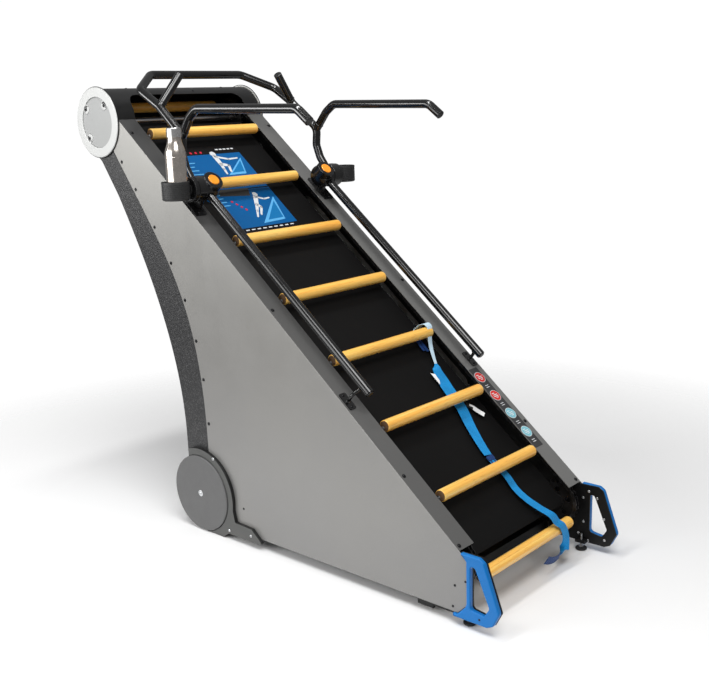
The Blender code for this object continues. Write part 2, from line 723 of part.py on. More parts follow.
def build_hub(side, sign):
    hub = lathe_x("hub_" + side, barrel_profile(), HUB_AXIS, "black_plastic", seg=28, sign=sign)
    neck = ladders([(HUB_UP - 0.032, 0.0100), (HUB_UP + 0.032, 0.0100),
                    (HUB_UP + 0.024, 0.060), (HUB_UP - 0.024, 0.060)])
    union(hub, prism("neck", neck, span(sign, 0.3185, 0.3410)))
    base = ladders(rectangle((1.362, 1.492), (SEAT_OUT, 0.0113)))
    union(hub, prism("base", base, span(sign, 0.318, 0.372)))

    # round boss facing the user, with the pocket for the button in its face
    facing = Vector((0.0, -math.cos(BUTTON_RISE), math.sin(BUTTON_RISE)))
    centre = Vector((sign * BUTTON_X, *HUB_AXIS))
    union(hub, rod("boss", centre, centre + facing * BOSS_REACH, BOSS_R, seg=28))
    floor = centre + facing * POCKET_REACH
    cut(hub, rod("pocket", floor, floor + facing * 0.05, POCKET_R, seg=20))
    shade(hub, 35)
    rod("button_" + side, floor + facing * 0.0065, floor + facing * 0.0150, BUTTON_R,
        "orange_plastic", seg=20)


# ----------------------------------------------------------------------------
# cup holders and the bottle, which stands in the left one
# ----------------------------------------------------------------------------
CUP_X, CUP_Y = 0.448, HUB_AXIS[0] + 0.008
CUP_R, CUP_BORE, CUP_HEIGHT = 0.0510, 0.0472, 0.068
CUP_LOW = HUB_AXIS[1] - CUP_HEIGHT / 2
CUP_FLOOR = 0.004                 # thickness, and the chamfer under it

BOTTLE_R, BOTTLE_NECK_R = 0.0378, 0.0243
SHOULDER_LOW, SHOULDER_HEIGHT, SHOULDER_STEPS = 0.158, 0.062, 6


def build_cup_holder(side, sign):
    floor = CUP_LOW + CUP_FLOOR
    cup = lathe_z("cup_holder_" + side,
                  [(CUP_LOW, 0), (CUP_LOW, CUP_R - CUP_FLOOR), (floor, CUP_R),
                   (CUP_LOW + CUP_HEIGHT, CUP_R), (CUP_LOW + CUP_HEIGHT, 0)],
                  sign * CUP_X, CUP_Y, "rubber")
    union(cup, disc("pad", HUB_OUTER_X + GAP, 0.412, 0.022, HUB_AXIS, seg=16, sign=sign))
    cut(cup, lathe_z("well", [(floor, 0), (floor, CUP_BORE), (CUP_LOW + 0.1, CUP_BORE),
                              (CUP_LOW + 0.1, 0)], sign * CUP_X, CUP_Y))
    shade(cup, 35)


def build_bottle():
    shoulder = []
    for k in range(SHOULDER_STEPS + 1):
        ease = 0.5 - 0.5 * math.cos(math.pi * k / SHOULDER_STEPS)
        shoulder.append((SHOULDER_LOW + SHOULDER_HEIGHT * k / SHOULDER_STEPS,
                         BOTTLE_R - (BOTTLE_R - BOTTLE_NECK_R) * ease))
    # (height above the bottle's base, radius): up the outside, then down the inside
    profile = ([(0, 0), (0, 0.0345), (0.004, BOTTLE_R)] + shoulder
               + [(0.221, 0.0268), (0.250, 0.0268), (0.254, 0.0245), (0.254, 0.0205),
                  (0.217, 0.0215), (0.186, 0.0300), (0.157, 0.0358), (0.006, 0.0358),
                  (0.006, 0)])
    base = CUP_LOW + 0.0045
    lathe_z("bottle", [(base + height, radius) for height, radius in profile],
            -(CUP_X - 0.005), CUP_Y - 0.006, "stainless")


# ----------------------------------------------------------------------------
# handlebar frame: rear loop, two forward arms, two short grips, collars on the hubs
# ----------------------------------------------------------------------------
# stations: distance from the centre, then view (y, z)
HALF_LOOP = ((0.360, 1.0649, 1.0097), (0.359, 1.0950, 1.0520), (0.358, 1.1130, 1.1030),
             (0.357, 1.105, 1.170), (0.3495, 1.237, 1.278), (0.354, 1.344, 1.342),
             (0.235, 1.427, 1.401))
ARM = ((0.357, 1.108, 1.166), (0.361, 1.052, 1.2360), (0.3625, 1.010, 1.2660),
       (0.351, 0.510, 1.2545), (0.352, 0.456, 1.2130))
GRIP = ((0.3490, 1.236, 1.277), (0.2570, 1.221, 1.392))
COLLAR_BORE, COLLAR_R = 0.0295, 0.0470


def bar_path(sign, stations):
    return [Vector((sign * x, *view(y, z))) for x, y, z in stations]


def build_handlebar():
    loop = bar_path(-1.0, HALF_LOOP) + bar_path(1.0, HALF_LOOP)[::-1]
    handlebar = sweep_tube("handlebar", filleted_path(loop, 0.045), TUBE_R, "black_paint")
    for _, sign in SIDES:
        union(handlebar, annulus("collar", span(sign, COLLAR_X0, COLLAR_X1),
                                 COLLAR_BORE, COLLAR_R, HUB_AXIS, seg=24))
        union(handlebar, sweep_tube("arm", filleted_path(bar_path(sign, ARM), 0.050), TUBE_R))
        union(handlebar, sweep_tube("grip", bar_path(sign, GRIP), TUBE_R))
    shade(handlebar)


# ----------------------------------------------------------------------------
# lift handle covers on the forward ends of the structural plates
# ----------------------------------------------------------------------------
LIFT_FACE_X = 0.3885
LIFT_CORNER_R = [0, 0.006, 0.012, 0.012, 0.014, 0.010] + [0] * 6  # one per outline point


def build_lift_handle(side, sign):
    outline = (
        [view(-0.1530, -0.1180)] + HANDLE_OUTER
        + views([(-0.125, -0.345), (-0.125, -0.3335), (-0.1413, -0.3335),
                 (-0.1733, -0.3011), (-0.1790, -0.2857), (-0.1790, -0.1424)])
    )
    lift = prism("lift_handle_" + side, rounded(outline, LIFT_CORNER_R, 3),
                 span(sign, FRAME_X1 + GAP, LIFT_FACE_X), "blue_plastic")
    cut(lift, prism("hole", HANDLE_HOLE, span(sign, 0.36, 0.40)))


# ----------------------------------------------------------------------------
# levelling feet
# ----------------------------------------------------------------------------
# (height above the floor, radius)
FOOT_PROFILE = ((0, 0), (0, 0.0185), (0.003, 0.0210), (0.008, 0.0210), (0.011, 0.0090),
                (0.011, 0.0050), (0.062, 0.0050), (0.062, 0))


def build_foot(side, sign):
    y, floor_z = view(FOOT_Y, FLOOR)
    lathe_z("foot_" + side, [(floor_z + height, radius) for height, radius in FOOT_PROFILE],
            sign * FOOT_X, y, "steel", seg=20)


# ----------------------------------------------------------------------------
# wheel brackets with stub axles, and the transport wheels
# ----------------------------------------------------------------------------
WHEEL_AXIS = view(1.099, -0.215)
WHEEL_R = 0.1545
WHEEL_X0, WHEEL_X1 = 0.3858, 0.4000
WHEEL_CHAMFER = 0.003
BRACKET_R, BRACKET_FACE_X = 0.1840, 0.3945
STUB_R, WHEEL_BORE_R = 0.008, 0.0084


def build_wheel_bracket(side, sign):
    outline = (
        arc(WHEEL_AXIS, BRACKET_R, 69.0, 190.0, 18)
        + views([(0.908, -0.293), (0.815, -0.297), (0.759, -0.344), (0.787, -0.349),
                 (0.950, -0.349), (0.983, FLOOR), (1.079, FLOOR), (1.120, -0.330),
                 (1.150, -0.200)])
    )
    bracket = prism("wheel_bracket_" + side, outline, span(sign, OUTSIDE_X, BRACKET_FACE_X),
                    "black_paint")
    cut(bracket, disc("pocket", 0.3850, 0.41, WHEEL_R + 0.0030, WHEEL_AXIS, seg=40, sign=sign))
    union(bracket, disc("stub", 0.3830, 0.3990, STUB_R, WHEEL_AXIS, seg=16, sign=sign))


def build_wheel(side, sign):
    rim = [(WHEEL_X0, 0), (WHEEL_X0, WHEEL_R - WHEEL_CHAMFER), (WHEEL_X0 + WHEEL_CHAMFER, WHEEL_R),
           (WHEEL_X1 - WHEEL_CHAMFER, WHEEL_R), (WHEEL_X1, WHEEL_R - WHEEL_CHAMFER), (WHEEL_X1, 0)]
    wheel = lathe_x("wheel_" + side, rim, WHEEL_AXIS, "wheel_grey", seg=40, sign=sign)
    cut(wheel, disc("hole", 0.38, 0.3993, WHEEL_BORE_R, WHEEL_AXIS, seg=16, sign=sign))
    shade(wheel, 35)


# ----------------------------------------------------------------------------
# waist strap: the space the webbing takes up behind the rungs
# ----------------------------------------------------------------------------
STRAP_TOP, STRAP_LOW = Vector((0.236, 0.560)), Vector((0.086, 0.046))  # (x, up)
STRAP_HALF_WIDTH = 0.024
STRAP_OUTS = (-0.0405, -0.0285)   # its rear and front faces


def build_waist_strap():
    run = STRAP_LOW - STRAP_TOP
    across = Vector((-run.y, run.x)).normalized() * STRAP_HALF_WIDTH
    corners = [STRAP_TOP - across, STRAP_TOP + across, STRAP_LOW + across, STRAP_LOW - across]
    skin("waist_strap", [[(corner.x, *ladder(corner.y, out)) for corner in corners]
                         for out in STRAP_OUTS], "webbing")


# ----------------------------------------------------------------------------
# the whole machine
# ----------------------------------------------------------------------------
for build in (build_side_panel, build_side_frame, build_drum_end, build_chain,
              build_side_drive, build_rail, build_hub, build_cup_holder, build_lift_handle,
              build_foot, build_wheel_bracket, build_wheel):
    for side_name, side_sign in SIDES:
        build(side_name, side_sign)

for build in (build_hood, build_rear_cover, build_inner_deck, build_crossmembers,
              build_shafts, build_brake, build_bottle, build_handlebar, build_waist_strap):
    build()

for number in range(1, RUNG_COUNT + 1):
    build_rung(number)
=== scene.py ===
"""Looks for an inclined ladder climber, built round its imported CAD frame.

Row frame: +X the user's right, +Y towards the rear of the machine, +Z up, metres.
spot(y, z) is a side-view place measured from the second rung's centre. slope(along, out)
is one measured up the incline from there and square to it, towards the user.
Pieces that come in pairs are made for sign -1 (left) and +1 (right).
"""

from math import cos, exp, pi, radians, sin, tan

import bmesh
import bpy
from mathutils import Matrix, Vector


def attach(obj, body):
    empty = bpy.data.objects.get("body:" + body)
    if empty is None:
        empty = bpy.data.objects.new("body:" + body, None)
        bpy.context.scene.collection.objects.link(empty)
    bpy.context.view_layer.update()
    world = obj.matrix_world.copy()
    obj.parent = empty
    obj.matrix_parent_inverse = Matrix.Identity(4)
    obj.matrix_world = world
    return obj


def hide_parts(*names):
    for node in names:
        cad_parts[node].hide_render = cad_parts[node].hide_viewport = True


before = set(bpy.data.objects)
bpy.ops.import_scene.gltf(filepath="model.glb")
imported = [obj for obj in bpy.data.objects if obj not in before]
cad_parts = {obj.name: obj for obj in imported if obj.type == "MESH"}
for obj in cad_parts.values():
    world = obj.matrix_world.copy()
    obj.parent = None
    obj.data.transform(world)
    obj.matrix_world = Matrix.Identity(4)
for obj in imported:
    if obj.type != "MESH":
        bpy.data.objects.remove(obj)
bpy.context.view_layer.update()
SCENE = bpy.context.scene.collection
SIDES = (("left", -1.0), ("right", 1.0))

# --- driving dimensions and places ---
INCLINE = radians(40.0)
RUN, RISE = cos(INCLINE), sin(INCLINE)
RUNG_2_Y, RUNG_2_Z = -0.7153, 0.3720
ACROSS = Vector((1, 0, 0))
UP_SLOPE = Vector((0, RUN, RISE))
OUT = Vector((0, -RISE, RUN))
XYZ = ((1, 0, 0), (0, 1, 0), (0, 0, 1))

RUNGS, LINKS_PER_RUNG, TEETH = 16, 16, 25
RUNG_PITCH, CHAIN_PITCH = 0.3048, 0.01905
CHAIN_R = TEETH * CHAIN_PITCH / (2 * pi)
RUNG_TRACK_R = 0.0865
LOOP = RUNGS * RUNG_PITCH
SPAN = (LOOP - 2 * pi * CHAIN_R) / 2
TOP_ALONG = 2.011
LOW_ALONG = TOP_ALONG - SPAN
AXLE_OUT = -RUNG_TRACK_R


def spot(y, z):
    return (y + RUNG_2_Y, z + RUNG_2_Z)


def spots(*pairs):
    return [spot(y, z) for y, z in pairs]


def slope(along, out):
    return spot(along * RUN - out * RISE, along * RISE + out * RUN)


def slope3(x, along, out):
    return Vector((x, *slope(along, out)))


def height_off_slope(point):
    return (point - slope3(0, 0, 0)).dot(OUT)


DRUM = slope(TOP_ALONG, AXLE_OUT)
IDLER = slope(LOW_ALONG, AXLE_OUT)
HUB = slope(1.428, 0.0795)


# --- curves ---
def polar(centre, radius, angle):
    return (centre[0] + radius * cos(angle), centre[1] + radius * sin(angle))


def arc(centre, radius, start, end, steps):
    """Points from start to end, in degrees."""
    return [polar(centre, radius, radians(start + (end - start) * k / steps))
            for k in range(steps + 1)]


def circle(centre, radius, steps):
    return [polar(centre, radius, 2 * pi * k / steps) for k in range(steps)]


def rect(x0, x1, low, high):
    return [(x0, low), (x1, low), (x1, high), (x0, high)]


def rod(start, end, radius):
    """The lathe profile of a plain cylinder."""
    return [(start, 0), (start, radius), (end, radius), (end, 0)]


def bezier(*points, steps=42):
    curve = []
    for k in range(steps + 1):
        t = k / steps
        u = 1 - t
        curve.append(tuple(u ** 3 * a + 3 * u * u * t * b + 3 * u * t * t * c + t ** 3 * d
                           for a, b, c, d in zip(*points)))
    return curve


def tangents(path):
    path = [Vector(p) for p in path]
    ahead = path[1:] + path[-1:]
    behind = path[:1] + path[:-1]
    return [(a - b).normalized() for a, b in zip(ahead, behind)]


def offset_curve(points, distance):
    return [(p[0] - t.y * distance, p[1] + t.x * distance)
            for p, t in zip(points, tangents(points))]


def rounded(points, radius, steps=6):
    """A closed outline with arcs at its corners; radius is one value or one per corner."""
    outline = []
    count = len(points)
    for i in range(count):
        corner = Vector(points[i])
        before = Vector(points[i - 1]) - corner
        after = Vector(points[(i + 1) % count]) - corner
        r = radius[i] if isinstance(radius, list) else radius
        half = before.angle(after) / 2
        if r <= 0 or half > radians(88):
            outline.append(tuple(corner))
            continue
        reach = min(r / tan(half), 0.45 * before.length, 0.45 * after.length)
        r = reach * tan(half)
        before.normalize()
        after.normalize()
        centre = corner + (before + after).normalized() * (r / sin(half))
        first = corner + before * reach - centre
        sweep = first.angle_signed(corner + after * reach - centre)
        for k in range(steps + 1):
            t = -sweep * k / steps
            outline.append((centre.x + first.x * cos(t) - first.y * sin(t),
                            centre.y + first.x * sin(t) + first.y * cos(t)))
    return outline


def filleted(points, radius, steps=8):
    """An open 3-D path whose corners become parabolic bends."""
    pts = [Vector(p) for p in points]
    path = [pts[0]]
    for before, corner, after in zip(pts, pts[1:], pts[2:]):
        u, v = (before - corner).normalized(), (after - corner).normalized()
        reach = min(radius / tan(u.angle(v) / 2), 0.45 * (before - corner).length,
                    0.45 * (after - corner).length)
        start, end = corner + u * reach, corner + v * reach
        for k in range(steps + 1):
            t = k / steps
            path.append((1 - t) ** 2 * start + 2 * (1 - t) * t * corner + t * t * end)
    path.append(pts[-1])
    return path


def smooth_path(points, steps):
    """A Catmull-Rom curve through 3-D points."""
    p = [Vector(q) for q in points]
    p = [p[0] * 2 - p[1]] + p + [p[-1] * 2 - p[-2]]
    path = []
    for a, b, c, d in zip(p, p[1:], p[2:], p[3:]):
        for k in range(steps):
            t = k / steps
            path.append(0.5 * ((2 * b) + (-a + c) * t + (2 * a - 5 * b + 4 * c - d) * t * t
                               + (-a + 3 * b - 3 * c + d) * t ** 3))
    path.append(p[-2])
    return path


def slope_path(points, steps):
    """A smooth path through (x, along, out) points."""
    return smooth_path([slope3(*p) for p in points], steps)


# --- mesh building: each builder adds to a bmesh, so a piece can hold several shapes ---
def skin(mesh, rings, mat=0, cap_mat=None):
    """Join rings of equal length and close both ends."""
    rows = [[mesh.verts.new(p) for p in ring] for ring in rings]
    count = len(rows[0])
    for a, b in zip(rows, rows[1:]):
        for i in range(count):
            j = (i + 1) % count
            mesh.faces.new((a[i], a[j], b[j], b[i])).material_index = mat
    for cap in (list(reversed(rows[0])), rows[-1]):
        mesh.faces.new(cap).material_index = mat if cap_mat is None else cap_mat


def ring_points(centre, side, up, radius, seg):
    return [centre + (side * cos(2 * pi * k / seg) + up * sin(2 * pi * k / seg)) * radius
            for k in range(seg)]


def lathe(mesh, profile, origin, axis, seg=40, mat=0):
    """Turn (distance along axis, radius) pairs; radius 0 at an end closes the shape."""
    origin, axis = Vector(origin), Vector(axis).normalized()
    side = Vector((0, 1, 0)) if abs(axis.x) > 0.9 else axis.orthogonal().normalized()
    up = axis.cross(side)
    rows = []
    for distance, radius in profile:
        centre = origin + axis * distance
        points = ring_points(centre, side, up, radius, seg) if radius else [centre]
        rows.append([mesh.verts.new(p) for p in points])
    for a, b in zip(rows, rows[1:]):
        for k in range(seg):
            j = (k + 1) % seg
            if len(a) == 1:
                corners = (a[0], b[k], b[j])
            elif len(b) == 1:
                corners = (a[k], b[0], a[j])
            else:
                corners = (a[k], b[k], b[j], a[j])
            mesh.faces.new(corners).material_index = mat
    return rows


def ring_lathe(mesh, profile, origin, axis, seg, mat=0):
    """Turn a closed profile: a ring with a hole."""
    rows = lathe(mesh, profile + profile[:1], origin, axis, seg, mat)
    for a, b in zip(rows[0], rows[-1]):
        bmesh.ops.pointmerge(mesh, verts=[a, b], merge_co=a.co.copy())


def tube(mesh, path, radius, seg):
    """A round bar along a path; radius is one value or one per point."""
    radii = radius if isinstance(radius, list) else [radius] * len(path)
    directions = tangents(path)
    side = directions[0].orthogonal().normalized()
    rings = []
    for point, along, r in zip(path, directions, radii):
        side = (side - along * side.dot(along)).normalized()
        rings.append(ring_points(Vector(point), side, along.cross(side), r, seg))
    skin(mesh, rings)


def ribbon(mesh, path, across, width, thick):
    """Webbing: a flat band with thinner edges; width is one value or one per point."""
    widths = width if isinstance(width, list) else [width] * len(path)
    top = thick / 2
    edge = top * 0.18
    rings = []
    for point, along, side, wide in zip(path, tangents(path), across, widths):
        side = Vector(side)
        side = (side - along * side.dot(along)).normalized()
        normal = along.cross(side).normalized()
        half, shoulder = wide / 2, wide / 2 - thick * 0.4
        section = [(-half, -edge), (-shoulder, -top), (0, -top * 0.92), (shoulder, -top),
                   (half, -edge), (half, edge), (shoulder, top), (0, top * 0.92),
                   (-shoulder, top), (-half, edge)]
        rings.append([point + side * x + normal * y for x, y in section])
    skin(mesh, rings)


def box(mesh, centre, size, axes=XYZ, mat=0):
    centre = Vector(centre)
    u, v, w = [Vector(a).normalized() * s / 2 for a, s in zip(axes, size)]
    skin(mesh, [[centre + k * w - u - v, centre + k * w + u - v,
                 centre + k * w + u + v, centre + k * w - u + v] for k in (-1, 1)], mat)


def slope_plate(mesh, outline, low, high, mat=0, sign=1.0):
    """An (x, along) outline made solid between two heights off the slope."""
    skin(mesh, [[slope3(sign * x, along, out) for x, along in outline]
                for out in (low, high)], mat)


def screw(mesh, place, normal, radius, height, washer=0.0, seg=18, mat=0):
    """A button-head screw with a socket, standing on a face; washer is its radius."""
    origin, normal = Vector(place), Vector(normal).normalized()
    if washer:
        lathe(mesh, [(0, 0), (0, washer), (0.0010, washer), (0.0014, washer - 0.0004),
                     (0.0014, 0)], origin, normal, seg + 6, mat)
        origin = origin + normal * 0.0014
    profile = [(-0.0005, 0), (-0.0005, radius), (height * 0.25, radius)]
    profile += [(height * (0.25 + 0.75 * sin(a)), radius * (1 - 0.42 * (1 - cos(a))))
                for a in map(radians, (25, 50, 75, 90))]
    profile += [(height, radius * 0.50), (height * 0.15, radius * 0.46), (height * 0.10, 0)]
    lathe(mesh, profile, origin, normal, seg, mat)


def new_lathe(profile, origin, axis, seg):
    mesh = bmesh.new()
    lathe(mesh, profile, origin, axis, seg)
    return mesh


def span(sign, low, high):
    """Ordered x values of a range on one side."""
    return (low, high) if sign > 0 else (-high, -low)


def new_prism(outline, x0, x1):
    mesh = bmesh.new()
    skin(mesh, [[(x, y, z) for y, z in outline] for x in (x0, x1)])
    return mesh


def ccw(points):
    area = sum(a[0] * b[1] - b[0] * a[1] for a, b in zip(points, points[1:] + points[:1]))
    return list(points) if area > 0 else list(reversed(points))


def plate(outline, holes, x0, x1, bevel=0.0006, steps=1):
    """A flat side-view plate with rounded edges and holes."""
    curve = bpy.data.curves.new("plate", "CURVE")
    curve.dimensions = "2D"
    curve.fill_mode = "BOTH"
    for loop in [ccw(outline)] + [list(reversed(ccw(hole))) for hole in holes]:
        spline = curve.splines.new("POLY")
        spline.points.add(len(loop) - 1)
        for point, (a, b) in zip(spline.points, loop):
            point.co = (a, b, 0, 1)
        spline.use_cyclic_u = True
    curve.extrude = abs(x1 - x0) / 2 - bevel
    curve.bevel_depth = bevel
    curve.bevel_resolution = steps
    curve.offset = -bevel
    ob = bpy.data.objects.new("plate", curve)
    SCENE.objects.link(ob)
    mesh = evaluated(ob)
    bpy.data.objects.remove(ob, do_unlink=True)
    bpy.data.curves.remove(curve)
    bmesh.ops.remove_doubles(mesh, verts=mesh.verts, dist=2e-6)
    turn = Matrix(((0, 0, 1, (x0 + x1) / 2), (1, 0, 0, 0), (0, 1, 0, 0), (0, 0, 0, 1)))
    bmesh.ops.transform(mesh, matrix=turn, verts=mesh.verts)
    return mesh


def evaluated(ob):
    """The object with its modifiers applied, as a new bmesh."""
    data = bpy.data.meshes.new_from_object(
        ob.evaluated_get(bpy.context.evaluated_depsgraph_get()))
    mesh = bmesh.new()
    mesh.from_mesh(data)
    bpy.data.meshes.remove(data)
    return mesh


def link_mesh(name, mesh, orient=True):
    if orient:
        bmesh.ops.recalc_face_normals(mesh, faces=mesh.faces)
    data = bpy.data.meshes.new(name)
    mesh.to_mesh(data)
    mesh.free()
    ob = bpy.data.objects.new(name, data)
    SCENE.objects.link(ob)
    return ob


def boolean(mesh, others, operation="DIFFERENCE"):
    """The exact boolean of one bmesh with several others, as a new bmesh."""
    ob = link_mesh("part", mesh)
    helpers = [link_mesh("cutter", other) for other in others]
    for helper in helpers:
        mod = ob.modifiers.new("cut", "BOOLEAN")
        mod.operation = operation
        mod.solver = "EXACT"
        mod.object = helper
    result = evaluated(ob)
    for used in [ob] + helpers:
        data = used.data
        bpy.data.objects.remove(used, do_unlink=True)
        bpy.data.meshes.remove(data)
    bmesh.ops.remove_doubles(result, verts=result.verts, dist=1e-6)
    bmesh.ops.dissolve_degenerate(result, edges=result.edges, dist=1e-6)
    return result


def put(name, mesh, materials, body="root", replaces=None, slot=None, angle=35,
        weighted=True, bevel=None):
    """Make the piece and let it ride on a CAD body; bevel is (width, segments)."""
    ob = link_mesh(name, mesh)
    for material in materials if isinstance(materials, list) else [materials]:
        ob.data.materials.append(material)
    ob.data.shade_smooth()
    ob.data.set_sharp_from_angle(angle=radians(angle))
    if bevel:
        mod = ob.modifiers.new("edge", "BEVEL")
        mod.width, mod.segments = bevel
        mod.limit_method = "ANGLE"
        mod.angle_limit = radians(38)
    if weighted:
        ob.modifiers.new("normals", "WEIGHTED_NORMAL").keep_sharp = True
    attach(ob, body)
    if replaces:
        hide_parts(replaces)


def put_screws(name, places, normal, material, radius, height, washer=0.0, seg=18):
    mesh = bmesh.new()
    for place in places:
        screw(mesh, place, normal, radius, height, washer, seg)
    put(name, mesh, material)


# --- shader graphs ---
class Graph:
    """Short-hand for a node tree; textures read coord unless given a source."""

    def __init__(self, tree, coord="Object"):
        self.tree = tree
        self.coord = self.add("TexCoord", coord)

    def feed(self, socket, value):
        if isinstance(value, bpy.types.NodeSocket):
            self.tree.links.new(value, socket)
        elif socket.type == "RGBA":
            socket.default_value = (*value, 1)
        else:
            socket.default_value = value

    def add(self, kind, output, inputs=None, **settings):
        node = self.tree.nodes.new("ShaderNode" + kind)
        for key, value in settings.items():
            setattr(node, key, value)
        for key, value in (inputs or {}).items():
            self.feed(node.inputs[key], value)
        return node.outputs[output]

    def stretched(self, scale, source=None):
        return self.add("Mapping", "Vector", {"Scale": scale, "Vector": source or self.coord})

    def noise(self, scale, detail=3.0, roughness=0.5, distortion=0.0, source=None):
        return self.add("TexNoise", "Fac", {
            "Scale": scale, "Detail": detail, "Roughness": roughness,
            "Distortion": distortion, "Vector": source or self.coord})

    def voronoi(self, scale):
        return self.add("TexVoronoi", "Distance", {"Scale": scale, "Vector": self.coord})

    def wave(self, scale, direction, source, distortion=0.0):
        return self.add("TexWave", "Fac", {
            "Scale": scale, "Distortion": distortion, "Vector": source},
            bands_direction=direction)

    def ramp(self, fac, *stops):
        """Stops are (position, colour or grey value)."""
        output = self.add("ValToRGB", "Color", {"Fac": fac})
        elements = output.node.color_ramp.elements
        while len(elements) < len(stops):
            elements.new(0.5)
        for element, (position, color) in zip(elements, stops):
            element.position = position
            element.color = (*color, 1) if isinstance(color, tuple) else (color,) * 3 + (1,)
        return output

    def mix(self, fac, a, b, mode="MIX"):
        return self.add("Mix", 2, {0: fac, 6: a, 7: b}, data_type="RGBA", blend_type=mode)

    def math(self, operation, a, b):
        return self.add("Math", 0, {0: a, 1: b}, operation=operation)

    def height(self):
        return self.add("SeparateXYZ", "Z", {0: self.coord})


def tinted(color, factor):
    return tuple(min(v * factor, 1) for v in color)


class Shader(Graph):
    """A material's graph."""

    def __init__(self, name):
        self.material = bpy.data.materials.new(name)
        self.material.use_nodes = True
        super().__init__(self.material.node_tree)

    def mottled(self, fac, color, down, up):
        return self.mix(fac, tinted(color, 1 - down), tinted(color, 1 + up))

    def uneven(self, noise, middle, spread):
        return self.ramp(noise, (0.3, middle - spread), (0.7, middle + spread))

    def scuffs(self, scale, full, strength=1.0):
        """Patchy wear on sharp edges, found from how far a rounded normal turns."""
        rounded_normal = self.add("Bevel", "Normal", {"Radius": 0.0012}, samples=4)
        flat_normal = self.add("NewGeometry", "Normal")
        dot = self.add("VectorMath", "Value", {0: rounded_normal, 1: flat_normal},
                       operation="DOT_PRODUCT")
        edges = self.ramp(self.math("SUBTRACT", 1.0, dot), (0.02, 0.0), (0.25, 1.0))
        patches = self.ramp(self.noise(scale, detail=4.0), (0.45, 0.0), (full, strength))
        return self.math("MULTIPLY", edges, patches)

    def bump(self, height, strength, distance, normal=None):
        inputs = {"Strength": strength, "Distance": distance, "Height": height}
        if normal is not None:
            inputs["Normal"] = normal
        return self.add("Bump", "Normal", inputs)

    def finish(self, color, rough, normal, metal=0.0, **more):
        bsdf = self.tree.nodes["Principled BSDF"]
        inputs = {"Base Color": color, "Roughness": rough, "Metallic": metal,
                  "Normal": normal, **more}
        for key, value in inputs.items():
            self.feed(bsdf.inputs[key.replace("_", " ")], value)
        return self.material


# --- materials ---
def paint(name, color, rough, metal=0.0, peel=0.10, grain=900.0, mottle=0.1, wear=None,
          coat=0.0, specular=0.5):
    """Paint on metal: mottling, orange-peel, satin changes; wear colours the edges."""
    shader = Shader(name)
    fine = shader.noise(scale=grain, detail=2.0)
    base = shader.mottled(shader.noise(scale=3.1, detail=4.0), color, mottle, mottle)
    base = shader.mix(0.10, base, fine, "OVERLAY")
    if wear:
        base = shader.mix(shader.scuffs(scale=55.0, full=0.62), base, wear)
    normal = shader.bump(fine, strength=peel * 0.7, distance=0.0002)
    normal = shader.bump(shader.noise(scale=140.0), peel, 0.0006, normal)
    sheen = shader.uneven(shader.noise(scale=9.0, detail=5.0), rough, spread=0.05)
    return shader.finish(base, sheen, normal, metal, Coat_Weight=coat, Coat_Roughness=0.08,
                         Specular_IOR_Level=specular)


def satin_grey(shader, base, speckle, wear, rough, metal):
    """Finish grey satin paint with a metallic speckle; rough is (low, high)."""
    fine = shader.noise(scale=1300.0, detail=2.0)
    base = shader.mix(speckle, base, fine, "OVERLAY")
    base = shader.mix(shader.scuffs(scale=40.0, full=0.65, strength=0.8), base, wear)
    sheen = shader.ramp(shader.noise(scale=7.0, detail=6.0), (0.3, rough[0]), (0.7, rough[1]))
    normal = shader.bump(fine, strength=0.05, distance=0.0002)
    normal = shader.bump(shader.noise(scale=160.0), 0.035, 0.0006, normal)
    return shader.finish(base, sheen, normal, metal)


def side_grey_painted_light_material():
    """Warm grey with painted light: lighter towards the top, where the light falls."""
    shader = Shader("side_grey_satin_painted_light")
    # painted light: the ramp over height makes the panel lighter towards the top
    base = shader.ramp(shader.math("MULTIPLY", shader.height(), 0.55),
                       (0.0, (0.225, 0.222, 0.218)),
                       (0.55, (0.275, 0.270, 0.258)),
                       (1.0, (0.35, 0.345, 0.325)))
    clouds = shader.ramp(shader.noise(scale=2.2, detail=5.0), (0.35, 0.0), (0.65, 0.22))
    base = shader.mix(clouds, base, (0.30, 0.29, 0.265))
    return satin_grey(shader, base, speckle=0.16, wear=(0.55, 0.54, 0.52),
                      rough=(0.34, 0.43), metal=0.35)


def shaded_flange_material(name, low, high):
    """The same paint with painted shade, darker upwards; low and high are ramp stops over half
    the height.
    """
    shader = Shader(name)
    base = shader.ramp(shader.math("MULTIPLY", shader.height(), 0.5), low, high)
    return satin_grey(shader, base, speckle=0.14, wear=(0.5, 0.5, 0.48),
                      rough=(0.36, 0.45), metal=0.30)


